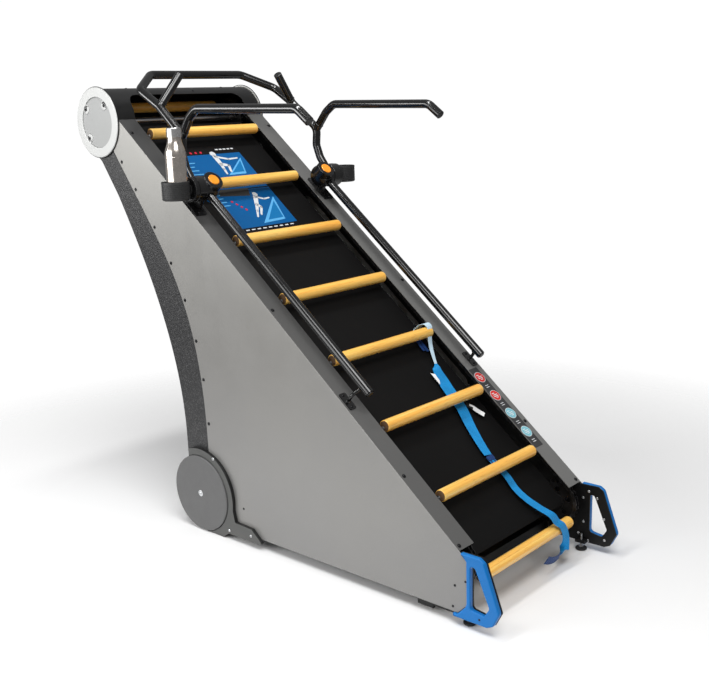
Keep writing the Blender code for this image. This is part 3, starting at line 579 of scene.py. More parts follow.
def wood_material():
    """Varnished beech: grain along the rung, flecks, soft bands, shifted per object."""
    shader = Shader("beech_varnished")
    random = shader.add("ObjectInfo", "Random")
    shift = shader.add("CombineXYZ", 0, {0: random, 1: random})
    place = shader.add("VectorMath", 0, {0: shift, 1: (7.0, 3.0, 5.0), 2: shader.coord},
                       operation="MULTIPLY_ADD")
    grain = shader.noise(scale=3.2, detail=7.0, roughness=0.62, distortion=0.5,
                         source=shader.stretched((2.2, 60.0, 60.0), place))
    bands = shader.noise(scale=2.6, distortion=1.2,
                         source=shader.stretched((0.55, 16.0, 16.0), place))
    flecks = shader.noise(scale=1.0, detail=2.0,
                          source=shader.stretched((26.0, 320.0, 320.0), place))
    flecks = shader.ramp(flecks, (0.60, 0.0), (0.70, 1.0))
    base = shader.ramp(bands, (0.25, (0.95, 0.46, 0.075)), (0.5, (1.0, 0.60, 0.125)),
                       (0.75, (1.0, 0.76, 0.235)))
    base = shader.mix(shader.ramp(grain, (0.35, 0.34), (0.62, 0.0)), base, (0.80, 0.36, 0.055))
    base = shader.mix(shader.math("MULTIPLY", flecks, 0.35), base, (0.38, 0.16, 0.04))
    tone = shader.ramp(random, (0.0, (1.0, 0.88, 0.76)), (1.0, 1.0))
    base = shader.mix(1.0, base, tone, "MULTIPLY")
    normal = shader.bump(flecks, strength=0.05, distance=0.0003)
    normal = shader.bump(grain, 0.10, 0.0006, normal)
    return shader.finish(base, shader.ramp(grain, (0.3, 0.36), (0.7, 0.27)), normal,
                         Coat_Weight=0.35, Coat_Roughness=0.16)


def end_grain_material():
    shader = Shader("rung_end_grain")
    rings = shader.noise(scale=420.0, detail=4.0, source=shader.stretched((1, 1, 1)))
    pores = shader.voronoi(scale=900.0)
    base = shader.ramp(rings, (0.3, (0.10, 0.052, 0.024)), (0.7, (0.20, 0.115, 0.055)))
    base = shader.mix(shader.ramp(pores, (0.1, 0.5), (0.35, 0.0)), base, (0.04, 0.02, 0.01))
    return shader.finish(base, 0.62, shader.bump(pores, strength=0.25, distance=0.0004))


def steel(name, color, rough, brushing=(60, 60, 60), oil=0.0):
    """Steel with fine brushing and dull patches; brushing stretches the scratches."""
    shader = Shader(name)
    brush = shader.noise(scale=26.0, detail=5.0, roughness=0.6,
                         source=shader.stretched(brushing))
    patches = shader.ramp(shader.noise(scale=18.0, detail=4.0), (0.35, 0.0), (0.7, 0.5))
    base = shader.mix(patches, color, tinted(color, 0.72))
    if oil:
        film = shader.ramp(shader.noise(scale=70.0), (0.4, oil), (0.7, 0.1))
        base = shader.mix(film, base, (0.03, 0.026, 0.022))
    sheen = shader.ramp(brush, (0.3, rough - 0.08), (0.7, rough + 0.10))
    normal = shader.bump(brush, strength=0.06, distance=0.0003)
    return shader.finish(base, sheen, normal, metal=1.0)


def plastic(name, color, rough, grain, depth, mottle=0.05, coat=0.0, wear=None, specular=0.5):
    """Moulded plastic: fine cell grain of a given depth and slightly polished patches."""
    shader = Shader(name)
    cells = shader.voronoi(scale=grain)
    base = shader.mottled(shader.noise(scale=12.0, detail=4.0), color, mottle, mottle)
    base = shader.mix(0.06, base, cells, "OVERLAY")
    if wear:
        base = shader.mix(shader.scuffs(scale=80.0, full=0.65, strength=0.7), base, wear)
    sheen = shader.uneven(shader.noise(scale=30.0, detail=4.0), rough, spread=0.06)
    return shader.finish(base, sheen, shader.bump(cells, depth, distance=0.0003),
                         Coat_Weight=coat, Coat_Roughness=0.1, Specular_IOR_Level=specular)


def hammer_material():
    """Black hammer finish: pits and blisters under a semi-gloss skin."""
    shader = Shader("cover_hammer_black")
    blisters = shader.noise(scale=150.0, detail=4.0, roughness=0.6, distortion=0.4)
    height = shader.math("MULTIPLY", shader.voronoi(scale=210.0), 0.6)
    height = shader.math("ADD", height, blisters)
    specks = shader.ramp(shader.noise(scale=330.0), (0.52, 0.0), (0.66, 1.0))
    base = shader.mix(shader.math("MULTIPLY", specks, 0.55), (0.020, 0.020, 0.021), (0.16,) * 3)
    return shader.finish(base, shader.ramp(blisters, (0.35, 0.30), (0.65, 0.52)),
                         shader.bump(height, strength=0.75, distance=0.0012), metal=0.25)


def webbing(name, color, pale):
    """Woven webbing: fine yarns with pale crossings and faint dirt; on the azure and lap webbing
    the pale crossing colour is a painted highlight.
    """
    shader = Shader(name)
    warp = shader.wave(scale=620.0, direction="X", source=shader.stretched((1, 0, 0)))
    weft = shader.wave(scale=520.0, direction="DIAGONAL", distortion=1.2,
                       source=shader.stretched((0, 0.766, 0.643)))
    yarn = shader.math("MULTIPLY", warp, weft)
    fibre = shader.noise(scale=1.0, detail=4.0, source=shader.stretched((900, 260, 260)))
    dirt = shader.ramp(shader.noise(scale=22.0, detail=4.0), (0.35, 0.25), (0.6, 0.0))
    # pale crossings: a real weave, and for some webbing partly painted highlight
    base = shader.mix(shader.ramp(yarn, (0.1, 0.0), (0.8, 0.55)), color, pale)
    base = shader.mix(0.25, base, fibre, "OVERLAY")
    base = shader.mix(dirt, base, tinted(color, 0.45))
    height = shader.math("ADD", yarn, shader.math("MULTIPLY", fibre, 0.5))
    return shader.finish(base, 0.55, shader.bump(height, strength=0.4, distance=0.0006),
                         Sheen_Weight=0.06, Specular_IOR_Level=0.3)


def ink(name, color, rough=0.42):
    """Ink on vinyl: slight mottling, fine dot grain and a soft sheen."""
    shader = Shader(name)
    tone = shader.noise(scale=9.0, detail=4.0)
    base = shader.mottled(tone, color, down=0.10, up=0.08)
    base = shader.mix(0.10, base, shader.voronoi(scale=1500.0), "OVERLAY")
    return shader.finish(base, rough, shader.bump(tone, strength=0.04, distance=0.0008),
                         Specular_IOR_Level=0.18)


SIDE_GREY_PAINTED_LIGHT = side_grey_painted_light_material()
# painted shade: the left flange is a darker, shaded copy of the right one, and both darken
# upwards
FLANGE_GREY_SHADED = {
    "left": shaded_flange_material("flange_grey_shaded_left", low=(0.36, (0.125, 0.124, 0.121)),
                            high=(0.80, (0.055,) * 3)),
    "right": shaded_flange_material("flange_grey_shaded_right", low=(0.20, (0.20, 0.199, 0.193)),
                             high=(0.80, (0.15, 0.149, 0.145)))}
ENAMEL = paint("gloss_black_enamel", (0.0028, 0.0028, 0.0030), rough=0.17, peel=0.03,
               mottle=0.2, coat=0.25, specular=0.55)
FRAME_BLACK = paint("frame_black_satin", (0.005, 0.005, 0.0052), rough=0.42, grain=1100,
                    mottle=0.2, wear=(0.06,) * 3, specular=0.3)
DECK_BLACK = paint("deck_black_satin", (0.0042, 0.0040, 0.0040), rough=0.60, grain=1100,
                   mottle=0.25, specular=0.12)
HOOD_CHARCOAL = paint("hood_charcoal_satin", (0.0085, 0.0085, 0.0088), rough=0.36, peel=0.08,
                      grain=1000, mottle=0.15, wear=(0.08,) * 3, specular=0.4)
RING_SILVER = paint("ring_satin_silver", (0.54, 0.545, 0.535), rough=0.44, metal=0.2,
                    peel=0.05, grain=1400, mottle=0.03, wear=(0.85,) * 3)
PLATE_GREY = paint("end_plate_grey", (0.34, 0.345, 0.34), rough=0.46, metal=0.25,
                   grain=1200, mottle=0.05)
HAMMER_BLACK = hammer_material()
BEECH = wood_material()
END_GRAIN = end_grain_material()
STEEL = steel("steel_bright", (0.52, 0.52, 0.53), rough=0.30, brushing=(1, 60, 60))
CHAIN_STEEL = steel("chain_oiled_steel", (0.13, 0.13, 0.135), rough=0.36,
                    brushing=(40, 40, 40), oil=0.75)
# sprockets: a much darker steel than the shafts
SPROCKET_STEEL = steel("sprocket_dark_steel", (0.050, 0.050, 0.052), rough=0.42,
                       brushing=(40, 40, 40), oil=0.5)
ZINC = steel("screw_zinc", (0.66, 0.67, 0.68), rough=0.26)
BLACK_OXIDE = steel("screw_black_oxide", (0.045, 0.045, 0.047), rough=0.35)
BOTTLE_STEEL = steel("bottle_brushed_stainless", (0.70, 0.64, 0.58), rough=0.20,
                     brushing=(260, 260, 1.5))
BOTTLE_CAP = steel("bottle_cap_steel", (0.72, 0.72, 0.71), rough=0.24,
                   brushing=(120, 120, 40))
HUB_BLACK = plastic("hub_black_grained", (0.005, 0.005, 0.0055), rough=0.27, grain=850,
                    depth=0.10, mottle=0.1, wear=(0.04,) * 3)
BUTTON_ORANGE = plastic("button_orange_gloss", (1.0, 0.33, 0.012), rough=0.22, grain=300,
                        depth=0.04, mottle=0.04, coat=0.6)
SLEEVE_RUBBER = plastic("cup_sleeve_rubber", (0.019, 0.019, 0.0195), rough=0.50, grain=600,
                        depth=0.40, mottle=0.12)
CAP_BLACK = plastic("end_cap_black", (0.010,) * 3, rough=0.32, grain=900, depth=0.12)
HANDLE_BLUE = plastic("lift_handle_blue", (0.002, 0.150, 0.46), rough=0.36, grain=520,
                      depth=0.08, mottle=0.06, wear=(0.02, 0.24, 0.62), specular=0.3)
WHEEL_GREY = plastic("wheel_dark_grey", (0.098,) * 3, rough=0.50, grain=420, depth=0.30,
                     wear=(0.22,) * 3)
BRACKET_GREY = paint("bracket_dark_grey", (0.072, 0.073, 0.070), rough=0.48, metal=0.05,
                     peel=0.18, mottle=0.08, wear=(0.25,) * 3)
# near-black paint for the bracket's side faces: painted shade
BRACKET_EDGE_SHADE = paint("bracket_edge_painted_shade", (0.006,) * 3, rough=0.45, peel=0.12)
FOOT_RUBBER = plastic("rubber_black", (0.009,) * 3, rough=0.7, grain=500, depth=0.4, mottle=0.1)
# the azure webbing's pale crossing colour is its highlight colour: a real weave, partly painted
# highlight
AZURE_WEB = webbing("strap_azure_webbing", (0.003, 0.24, 0.62), pale=(0.01, 0.50, 0.92))
# painted highlight: the near-white webbing of the lap over rung 4
STRAP_HIGHLIGHT_WEB = webbing("strap_lap_painted_highlight", (0.55, 0.76, 0.90), pale=(0.95, 0.98, 1.0))
NAVY_WEB = webbing("strap_navy_webbing", (0.004, 0.035, 0.16), pale=(0.01, 0.09, 0.32))
TAG_WHITE = ink("tag_white", (0.86, 0.87, 0.88), rough=0.6)
TAG_BLACK = ink("tag_black", (0.02, 0.02, 0.02), rough=0.55)
POSTER_INKS = [ink("poster_" + name, color) for name, color in (
    ("blue", (0.001, 0.088, 0.27)), ("mid_blue", (0.006, 0.15, 0.38)),
    ("light_blue", (0.10, 0.38, 0.70)), ("black", (0.005, 0.005, 0.006)),
    ("white", (0.62, 0.64, 0.66)), ("red", (0.50, 0.02, 0.05)),
    ("grey", (0.045, 0.043, 0.042)))]
STRIP_INKS = [ink("strip_" + name, color) for name, color in (
    ("dark", (0.045, 0.045, 0.046)), ("red", (0.62, 0.035, 0.03)),
    ("aqua", (0.22, 0.52, 0.60)), ("white", (0.74, 0.76, 0.78)))]

# --- shared sizes and side-view outlines ---
GAP = 0.0003
PANEL_IN, PANEL_OUT = 0.3775, 0.3795
FRAME_IN, FRAME_OUT = 0.365, 0.370
HOOD_X = PANEL_IN - GAP
MEMBER_X = FRAME_IN - GAP
DRUM_R, SHEET = 0.130, 0.002
FLANGE_TOP = 0.005
LADDER_TOP = 1.915
REAR_EDGE = bezier(*spots((1.514, 1.122), (1.2279, 0.7119), (1.056, 0.5689), (1.056, 0.0)))

# --- side panels with their folded front flange ---
PANEL_OUTLINE = (
    spots((-0.140, -0.332), (-0.172, -0.300), (-0.1775, -0.285))
    + [slope(-0.2275, FLANGE_TOP), slope(LADDER_TOP, FLANGE_TOP)]
    + arc(DRUM, 0.1326, 176.0, -128.0, 80) + REAR_EDGE + [spot(1.056, -0.332)])
FLANGE_OUTLINE = [slope(-0.188, 0.002), slope(LADDER_TOP, 0.002),
                  slope(LADDER_TOP, FLANGE_TOP), slope(-0.188, FLANGE_TOP)]
# screws set in from the nearest point of the rear edge, then those in the lower part
REAR_SCREWS = spots((1.484, 1.076), (1.390, 0.950), (1.2985, 0.824), (1.2175, 0.693),
                    (1.150, 0.555), (1.097, 0.397), (1.0675, 0.241), (1.056, 0.084))
REAR_SCREW_INSET = 0.0145
LOW_SCREWS = spots((-0.1215, -0.315), (0.869, -0.230), (-0.130, -0.240))
FLANGE_SCREWS = (-0.1736, 0.1132, 0.8739, 1.8357)


def side_panel(side, sign):
    flange = new_prism(FLANGE_OUTLINE, *span(sign, 0.299, PANEL_IN + 0.0015))
    mesh = boolean(new_prism(PANEL_OUTLINE, *span(sign, PANEL_IN, PANEL_OUT)),
                   [flange], "UNION")
    mesh = boolean(mesh, [new_lathe(rod(0.370, 0.390, 0.080), (0, *DRUM), (sign, 0, 0), 48)])
    fold = [e for e in mesh.edges if all(
        abs(abs(v.co.x) - PANEL_OUT) < 2e-5
        and abs(height_off_slope(v.co) - FLANGE_TOP) < 3e-5 for v in e.verts)]
    bmesh.ops.bevel(mesh, geom=fold, offset=0.0018, segments=3, profile=0.5, affect="EDGES")
    mesh.normal_update()
    for face in mesh.faces:
        height = height_off_slope(face.calc_center_median())
        if face.normal.dot(OUT) > 0.9 and abs(height - FLANGE_TOP) < 4e-4:
            face.material_index = 1
    put("panel_" + side, mesh, [SIDE_GREY_PAINTED_LIGHT, FLANGE_GREY_SHADED[side]],
        replaces="side_panel_" + side, slot="side_grey", bevel=(0.0005, 2))


def panel_screws(side, sign):
    mesh = bmesh.new()
    edge = [Vector(p) for p in REAR_EDGE]
    for place in REAR_SCREWS:
        near = min(range(1, len(edge) - 1), key=lambda k: (edge[k] - Vector(place)).length)
        along = (edge[near + 1] - edge[near - 1]).normalized()
        point = edge[near] + Vector((along.y, -along.x)) * REAR_SCREW_INSET
        screw(mesh, (sign * PANEL_OUT, *point), (sign, 0, 0), radius=0.0046, height=0.0024,
              washer=0.0066)
    for place in LOW_SCREWS:
        screw(mesh, (sign * PANEL_OUT, *place), (sign, 0, 0), radius=0.0044, height=0.0022)
    put("panel_screws_" + side, mesh, BLACK_OXIDE)
    put_screws("flange_screws_" + side,
               [slope3(sign * 0.363, along, FLANGE_TOP) for along in FLANGE_SCREWS],
               OUT, BLACK_OXIDE, radius=0.0050, height=0.0026, washer=0.0072)


for side, sign in SIDES:
    side_panel(side, sign)
    panel_screws(side, sign)

# --- structural side plates and lift handles ---
HANDLE_OUTER = spots((-0.228, -0.118), (-0.247, -0.130), (-0.304, -0.286),
                     (-0.279, -0.334), (-0.256, -0.345))
HANDLE_HOLE = rounded(spots((-0.195, -0.156), (-0.2126, -0.1545), (-0.2656, -0.2775),
                            (-0.2455, -0.3086), (-0.194, -0.302)), 0.012, 8)
HANDLE_X = 0.3885
FRAME_OUTLINE = (
    spots((0.030, -0.345), (-0.125, -0.345)) + HANDLE_OUTER[::-1]
    + [slope(-0.1940, 0.0055), slope(-0.1905, -0.002), slope(LADDER_TOP, -0.002)]
    + arc(DRUM, 0.1245, 179.0, -126.0, 48) + offset_curve(REAR_EDGE, -0.034)[1:]
    + spots((1.022, -0.320), (0.045, -0.320)))
FRAME_WINDOW = rounded(
    spots((0.130, -0.275), (0.968, -0.275), (0.975, 0.080), (1.065, 0.470))
    + [slope(1.500, -0.185), slope(1.500, -0.075), slope(0.400, -0.075)], 0.050, 8)
HANDLE_OUTLINE = rounded(
    [spot(-0.1530, -0.1180)] + HANDLE_OUTER
    + spots((-0.125, -0.345), (-0.125, -0.3335), (-0.1413, -0.3335), (-0.1733, -0.3011),
            (-0.1790, -0.2857), (-0.1790, -0.1424)),
    [0.003, 0.010, 0.016, 0.018, 0.016, 0.012, 0.003, 0.002, 0.002, 0.002, 0.002, 0.002], 8)
HANDLE_SCREWS = spots((-0.190, -0.143), (-0.224, -0.163), (-0.253, -0.237),
                      (-0.257, -0.318), (-0.190, -0.337))
HANDLE_BOLTS = spots((-0.1775, -0.2100), (-0.2300, -0.3240))
for side, sign in SIDES:
    mesh = plate(FRAME_OUTLINE, [HANDLE_HOLE, FRAME_WINDOW], *span(sign, FRAME_IN, FRAME_OUT))
    box(mesh, (sign * 0.3535, *spot(-0.169, -0.338)), (0.0230, 0.040, 0.0118))
    put("frame_plate_" + side, mesh, FRAME_BLACK, replaces="side_frame_" + side,
        slot="frame_black")

    mesh = plate(HANDLE_OUTLINE, [HANDLE_HOLE], *span(sign, FRAME_OUT + GAP, HANDLE_X),
                 bevel=0.0050, steps=5)
    put("lift_grip_" + side, mesh, HANDLE_BLUE, replaces="lift_handle_" + side,
        slot="handle_blue", angle=50)

    put_screws("lift_grip_screws_" + side, [(sign * FRAME_IN, *p) for p in HANDLE_SCREWS],
               (-sign, 0, 0), ZINC, radius=0.0052, height=0.0024)
    put_screws("lift_grip_bolts_" + side,
               [(sign * (HANDLE_X - 0.0001), *p) for p in HANDLE_BOLTS],
               (sign, 0, 0), BLACK_OXIDE, radius=0.0040, height=0.0016)

# --- hood over the drum, with a round-cornered opening towards the user ---
MOUTH_FACING = radians(152.0)
MOUTH_LOW = -DRUM_R * sin(radians(24.0))
MOUTH = rounded([(-0.295, 0.12), (-0.295, MOUTH_LOW), (0.295, MOUTH_LOW), (0.295, 0.12)],
                [0.0, 0.045, 0.045, 0.0], 14)
HOOD_SCREWS = ((0.060, 118.0), (-0.250, 100.0), (0.250, 100.0))  # x, degrees round the drum
mesh = new_prism(arc(DRUM, DRUM_R, 176.4, -75.4, 110)
                 + arc(DRUM, DRUM_R - SHEET, -75.4, 176.4, 110), -HOOD_X, HOOD_X)
cutter = bmesh.new()
skin(cutter, [[(x, DRUM[0] + reach * cos(MOUTH_FACING) - t * sin(MOUTH_FACING),
                DRUM[1] + reach * sin(MOUTH_FACING) + t * cos(MOUTH_FACING)) for x, t in MOUTH]
              for reach in (0.05, 0.20)])
put("hood_shell", boolean(mesh, [cutter]), HOOD_CHARCOAL, replaces="hood",
    slot="hood_charcoal", angle=30, bevel=(0.0006, 2))

mesh = bmesh.new()
for x, degrees in HOOD_SCREWS:
    normal = Vector((0, *polar((0, 0), 1, radians(degrees))))
    screw(mesh, Vector((x, *DRUM)) + normal * DRUM_R, normal, radius=0.0048, height=0.0024)
put("hood_screws", mesh, BLACK_OXIDE)

# --- rear cover, hollowed from behind its outer line ---
COVER_TOP = -76.5
COVER_R = DRUM_R + 0.0009
COVER_LINE = (
    [polar(DRUM, COVER_R, radians(COVER_TOP)), slope(LADDER_TOP, -0.2040)]
    + bezier(*spots((1.5965, 1.0952), (1.3838, 0.7361), (1.186, 0.3857), (1.186, 0.0)))[6:]
    + [spot(1.186, -0.300)])
mesh = new_prism(COVER_LINE + [spot(1.034, -0.300)] + offset_curve(REAR_EDGE, -0.020)[::-1]
                 + arc(DRUM, COVER_R, -131.0, COVER_TOP, 20)[:-1], -HOOD_X, HOOD_X)
inner = offset_curve(COVER_LINE, -SHEET)
(top_y, top_z), (low_y, low_z) = inner[0], inner[-1]
hollow = new_prism(
    [(top_y + 0.012, top_z + 0.08), (top_y + 0.012, top_z + 0.01)] + inner
    + [(low_y, low_z - 0.05), (low_y - 0.4, low_z - 0.05), (low_y - 0.4, top_z + 0.08)],
    -HOOD_X + SHEET, HOOD_X - SHEET)
put("back_cover", boolean(mesh, [hollow]), HAMMER_BLACK, replaces="rear_cover",
    slot="cover_black", angle=30, bevel=(0.0008, 2))

# --- deck sheet behind the front rungs ---
DECK_OUT = -0.0470
deck_line = [slope(1.930, DECK_OUT), slope(-0.095, DECK_OUT),
             slope(-0.198, -0.053), slope(-0.214, -0.062)]
put("deck_sheet", new_prism(deck_line + offset_curve(deck_line, SHEET)[::-1], -0.295, 0.295),
    DECK_BLACK, replaces="inner_deck", slot="frame_black", bevel=(0.0004, 2))


# --- cross members ---
def block(mesh, x0, x1, y0, y1, z0, z1):
    """A box from side-view ranges."""
    box(mesh, ((x0 + x1) / 2, *spot((y0 + y1) / 2, (z0 + z1) / 2)), (x1 - x0, y1 - y0, z1 - z0))


mesh = bmesh.new()
block(mesh, -0.352, 0.352, -0.012, 0.028, -0.336, -0.300)
for side, sign in SIDES:
    block(mesh, *span(sign, 0.352, MEMBER_X), -0.030, 0.036, -0.361, -0.296)
put("front_tube", mesh, FRAME_BLACK, replaces="front_crossmember", slot="frame_black",
    bevel=(0.0022, 3))
mesh = bmesh.new()
block(mesh, -MEMBER_X, MEMBER_X, 0.955, 0.995, -0.318, -0.278)
put("rear_tube", mesh, FRAME_BLACK, replaces="rear_crossmember", slot="frame_black",
    bevel=(0.0022, 3))

# --- end rings with three screwed ears, and the end plates cut round them ---
RING_R, RING_FACE_R, RING_BORE = 0.1386, 0.1362, 0.0985
RING_X = 0.3798
EAR_PITCH_R = 0.0835
EAR_ANGLES = [radians(a) for a in (38.0, 130.0, -46.0)]
EARS = [polar(DRUM, EAR_PITCH_R, angle) for angle in EAR_ANGLES]
RING_PROFILE = (
    [(RING_X, RING_BORE), (RING_X, RING_FACE_R), (0.3842, RING_FACE_R)]
    + [(0.3842 + 0.0028 * sin(a), RING_FACE_R - 0.0028 * (1 - cos(a)))
       for a in map(radians, (15, 30, 45, 60, 75, 90))]
    + [(0.3870, RING_BORE + 0.0018), (0.3866, RING_BORE + 0.0005), (0.3856, RING_BORE)])
# the outer rim band is black: painted shade for the dark outline round the ring
RING_SHADE_RIM_PROFILE = [(RING_X, 0.1363), (RING_X, RING_R), (0.3828, RING_R),
               (0.3834, RING_R - 0.0006), (0.3834, 0.1363)]
EAR_PROFILE = [(RING_X, 0), (RING_X, 0.0165), (0.3848, 0.0165), (0.3853, 0.0162),
               (0.3855, 0.0157), (0.3855, 0)]
END_PLATE_PROFILE = [(RING_X, 0), (RING_X, RING_BORE - 0.0012), (0.3826, RING_BORE - 0.0012),
                     (0.3832, RING_BORE - 0.0018), (0.3832, 0)]
for side, sign in SIDES:
    axis = (sign, 0, 0)
    mesh = bmesh.new()
    ring_lathe(mesh, RING_PROFILE, (0, *DRUM), axis, 128)
    for angle, ear in zip(EAR_ANGLES, EARS):
        lathe(mesh, EAR_PROFILE, (0, *ear), axis, 40)
        radial = Vector((0, cos(angle), sin(angle)))
        box(mesh, Vector((sign * 0.38265, *DRUM)) + radial * 0.0925, (0.018, 0.033, 0.0057),
            (radial, ACROSS.cross(radial), ACROSS))
    # painted shade: the rim band takes the black frame paint
    ring_lathe(mesh, RING_SHADE_RIM_PROFILE, (0, *DRUM), axis, 128, mat=1)
    put("drum_ring_" + side, mesh, [RING_SILVER, FRAME_BLACK], replaces="end_ring_" + side,
        slot="ring_silver", angle=32)

    cutters = [new_lathe(rod(0.370, 0.395, 0.0175), (0, *ear), axis, 40) for ear in EARS]
    mesh = boolean(new_lathe(END_PLATE_PROFILE, (0, *DRUM), axis, 96), cutters)
    put("drum_plate_" + side, mesh, PLATE_GREY, replaces="end_plate_" + side,
        slot="plate_grey", angle=32)
    put_screws("drum_ring_screws_" + side, [(sign * 0.3855, *ear) for ear in EARS], axis,
               BLACK_OXIDE, radius=0.0056, height=0.0022, seg=24)

# --- feet, wheel brackets and wheels ---
WHEEL = spot(1.099, -0.215)
WHEEL_R = 0.1545
BRACKET_OUT = 0.3945
BRACKET_OUTLINE = rounded(
    arc(WHEEL, 0.1840, 69.0, 190.0, 48)
    + spots((0.908, -0.293), (0.815, -0.297), (0.759, -0.344), (0.787, -0.349),
            (0.950, -0.349), (0.983, -0.372), (1.079, -0.372), (1.120, -0.330),
            (1.150, -0.200)), 0.004, 3)
BRACKET_SCREWS = ((1.014, -0.055, 0.0062), (0.944, -0.334, 0.0058),
                  (0.820, -0.324, 0.0058))  # y, z, head radius
# foot profiles, upwards from the floor: rubber pad, hexagon nut, ridged stud
PAD_PROFILE = [(0, 0), (0, 0.0182), (0.0008, 0.0190), (0.003, 0.0210), (0.0072, 0.0210),
               (0.008, 0.0204), (0.0085, 0.0110), (0.011, 0.0095)]
NUT_PROFILE = [(0.0084, 0), (0.0084, 0.0088), (0.0100, 0.0095), (0.0150, 0.0095),
               (0.0155, 0.0090), (0.0155, 0)]
STUD_PROFILE = ([(0.0150, 0)]
                + [(0.0155 + 0.0465 * k / 40, 0.0050 if k % 2 else 0.0044) for k in range(41)]
                + [(0.0622, 0.0040), (0.0622, 0)])
WHEEL_PROFILE = (
    [(0.3858, 0)]
    + [(x, WHEEL_R - inset) for x, inset in (
        (0.3858, 0.0035), (0.3866, 0.0012), (0.3880, 0.0002), (0.3900, 0.0), (0.3955, 0.0),
        (0.3975, 0.0002), (0.3990, 0.0014), (0.3998, 0.0036), (0.4000, 0.0070))]
    + [(0.4000, 0.0300), (0.3996, 0.0280), (0.3994, 0.0200), (0.3994, 0)])


def foot(side, sign):
    mesh = bmesh.new()
    for profile, seg, mat in ((PAD_PROFILE, 48, 1), (NUT_PROFILE, 6, 0), (STUD_PROFILE, 24, 0)):
        lathe(mesh, profile, (sign * 0.3545, *spot(-0.169, -0.372)), (0, 0, 1), seg, mat)
    put("foot_" + side + "_pad", mesh, [ZINC, FOOT_RUBBER], body="foot_" + side,
        replaces="foot_" + side, slot="foot_steel", angle=32)


def wheel_mount(side, sign):
    axis = (sign, 0, 0)
    mesh = plate(BRACKET_OUTLINE, [], *span(sign, PANEL_OUT + GAP, BRACKET_OUT),
                 bevel=0.0010, steps=2)
    pocket = new_lathe(rod(0.3850, 0.41, WHEEL_R + 0.003), (0, *WHEEL), axis, 128)
    mesh = boolean(mesh, [pocket])
    lathe(mesh, [(0.3845, 0), (0.3845, 0.0080), (0.3985, 0.0080), (0.3990, 0.0074),
                 (0.3990, 0)], (0, *WHEEL), axis, 32)
    mesh.normal_update()
    # painted shade: faces that do not look along x, the bracket's sides, get the near-black paint
    for face in mesh.faces:
        if abs(face.normal.x) < 0.75:
            face.material_index = 1
    put("wheel_mount_" + side, mesh, [BRACKET_GREY, BRACKET_EDGE_SHADE],
        replaces="wheel_bracket_" + side, slot="frame_black", angle=40)

    mesh = bmesh.new()
    for y, z, radius in BRACKET_SCREWS:
        screw(mesh, (sign * BRACKET_OUT, *spot(y, z)), axis, radius, height=0.0030, seg=24)
    put("wheel_mount_screws_" + side, mesh, ZINC)


def wheel(side, sign):
    axis = (sign, 0, 0)
    mesh = new_lathe(WHEEL_PROFILE, (0, *WHEEL), axis, 128)
    lathe(mesh, [(0.3992, 0), (0.3992, 0.0128), (0.4000, 0.0128), (0.4004, 0.0122),
                 (0.4004, 0)], (0, *WHEEL), axis, 48, mat=1)
    screw(mesh, (sign * 0.4004, *WHEEL), axis, radius=0.0068, height=0.0030, mat=1, seg=30)
    put("wheel_disc_" + side, mesh, [WHEEL_GREY, ZINC], body="wheel_" + side,
        replaces="wheel_" + side, slot="wheel_grey", angle=34)


for side, sign in SIDES:
    foot(side, sign)
    wheel_mount(side, sign)
    wheel(side, sign)

# --- rails with a bent stand-off, its foot plate and an end cap ---
RAIL_X, RAIL_OUT, RAIL_START = 0.3234, 0.0795, 0.400
STANDOFF_X, STANDOFF_ALONG = 0.352, 0.437
PLATE_LOW = 0.0053
RAIL_FOOT_TOP = 0.0088
for side, sign in SIDES:
    start = slope3(sign * RAIL_X, RAIL_START, RAIL_OUT)
    mesh = new_lathe([(0, 0), (0, 0.0158), (0.0008, 0.0165), (0.982, 0.0165), (0.982, 0)],
                     start, UP_SLOPE, 48)
    bend = [slope3(sign * x, STANDOFF_ALONG, out) for x, out in (
        (STANDOFF_X, 0.0080), (STANDOFF_X, 0.040), (RAIL_X, 0.066))]
    tube(mesh, filleted(bend, 0.018, 8), 0.0065, 20)
    slope_plate(mesh, rounded(rect(0.338, 0.370, 0.402, 0.472), 0.006, 5),
                PLATE_LOW, RAIL_FOOT_TOP, sign=sign)
    lathe(mesh, [(0, 0), (0, 0.0095), (0.003, 0.0080), (0.0045, 0.0068), (0.0045, 0)],
          slope3(sign * STANDOFF_X, STANDOFF_ALONG, RAIL_FOOT_TOP), OUT, 28)
    put("rail_bar_" + side, mesh, ENAMEL, replaces="rail_" + side, slot="frame_black", angle=32)

    mesh = new_lathe([(0.0, 0), (0.0, 0.0120), (-0.0030, 0.0120), (-0.0042, 0.0105),
                      (-0.0046, 0.0060), (-0.0046, 0)], start, UP_SLOPE, 36)
    put("rail_end_cap_" + side, mesh, CAP_BLACK, angle=32)
    put_screws("rail_foot_screws_" + side,
               [slope3(sign * 0.3545, along, RAIL_FOOT_TOP) for along in (0.412, 0.462)],
               OUT, BLACK_OXIDE, radius=0.0048, height=0.0024, seg=24)

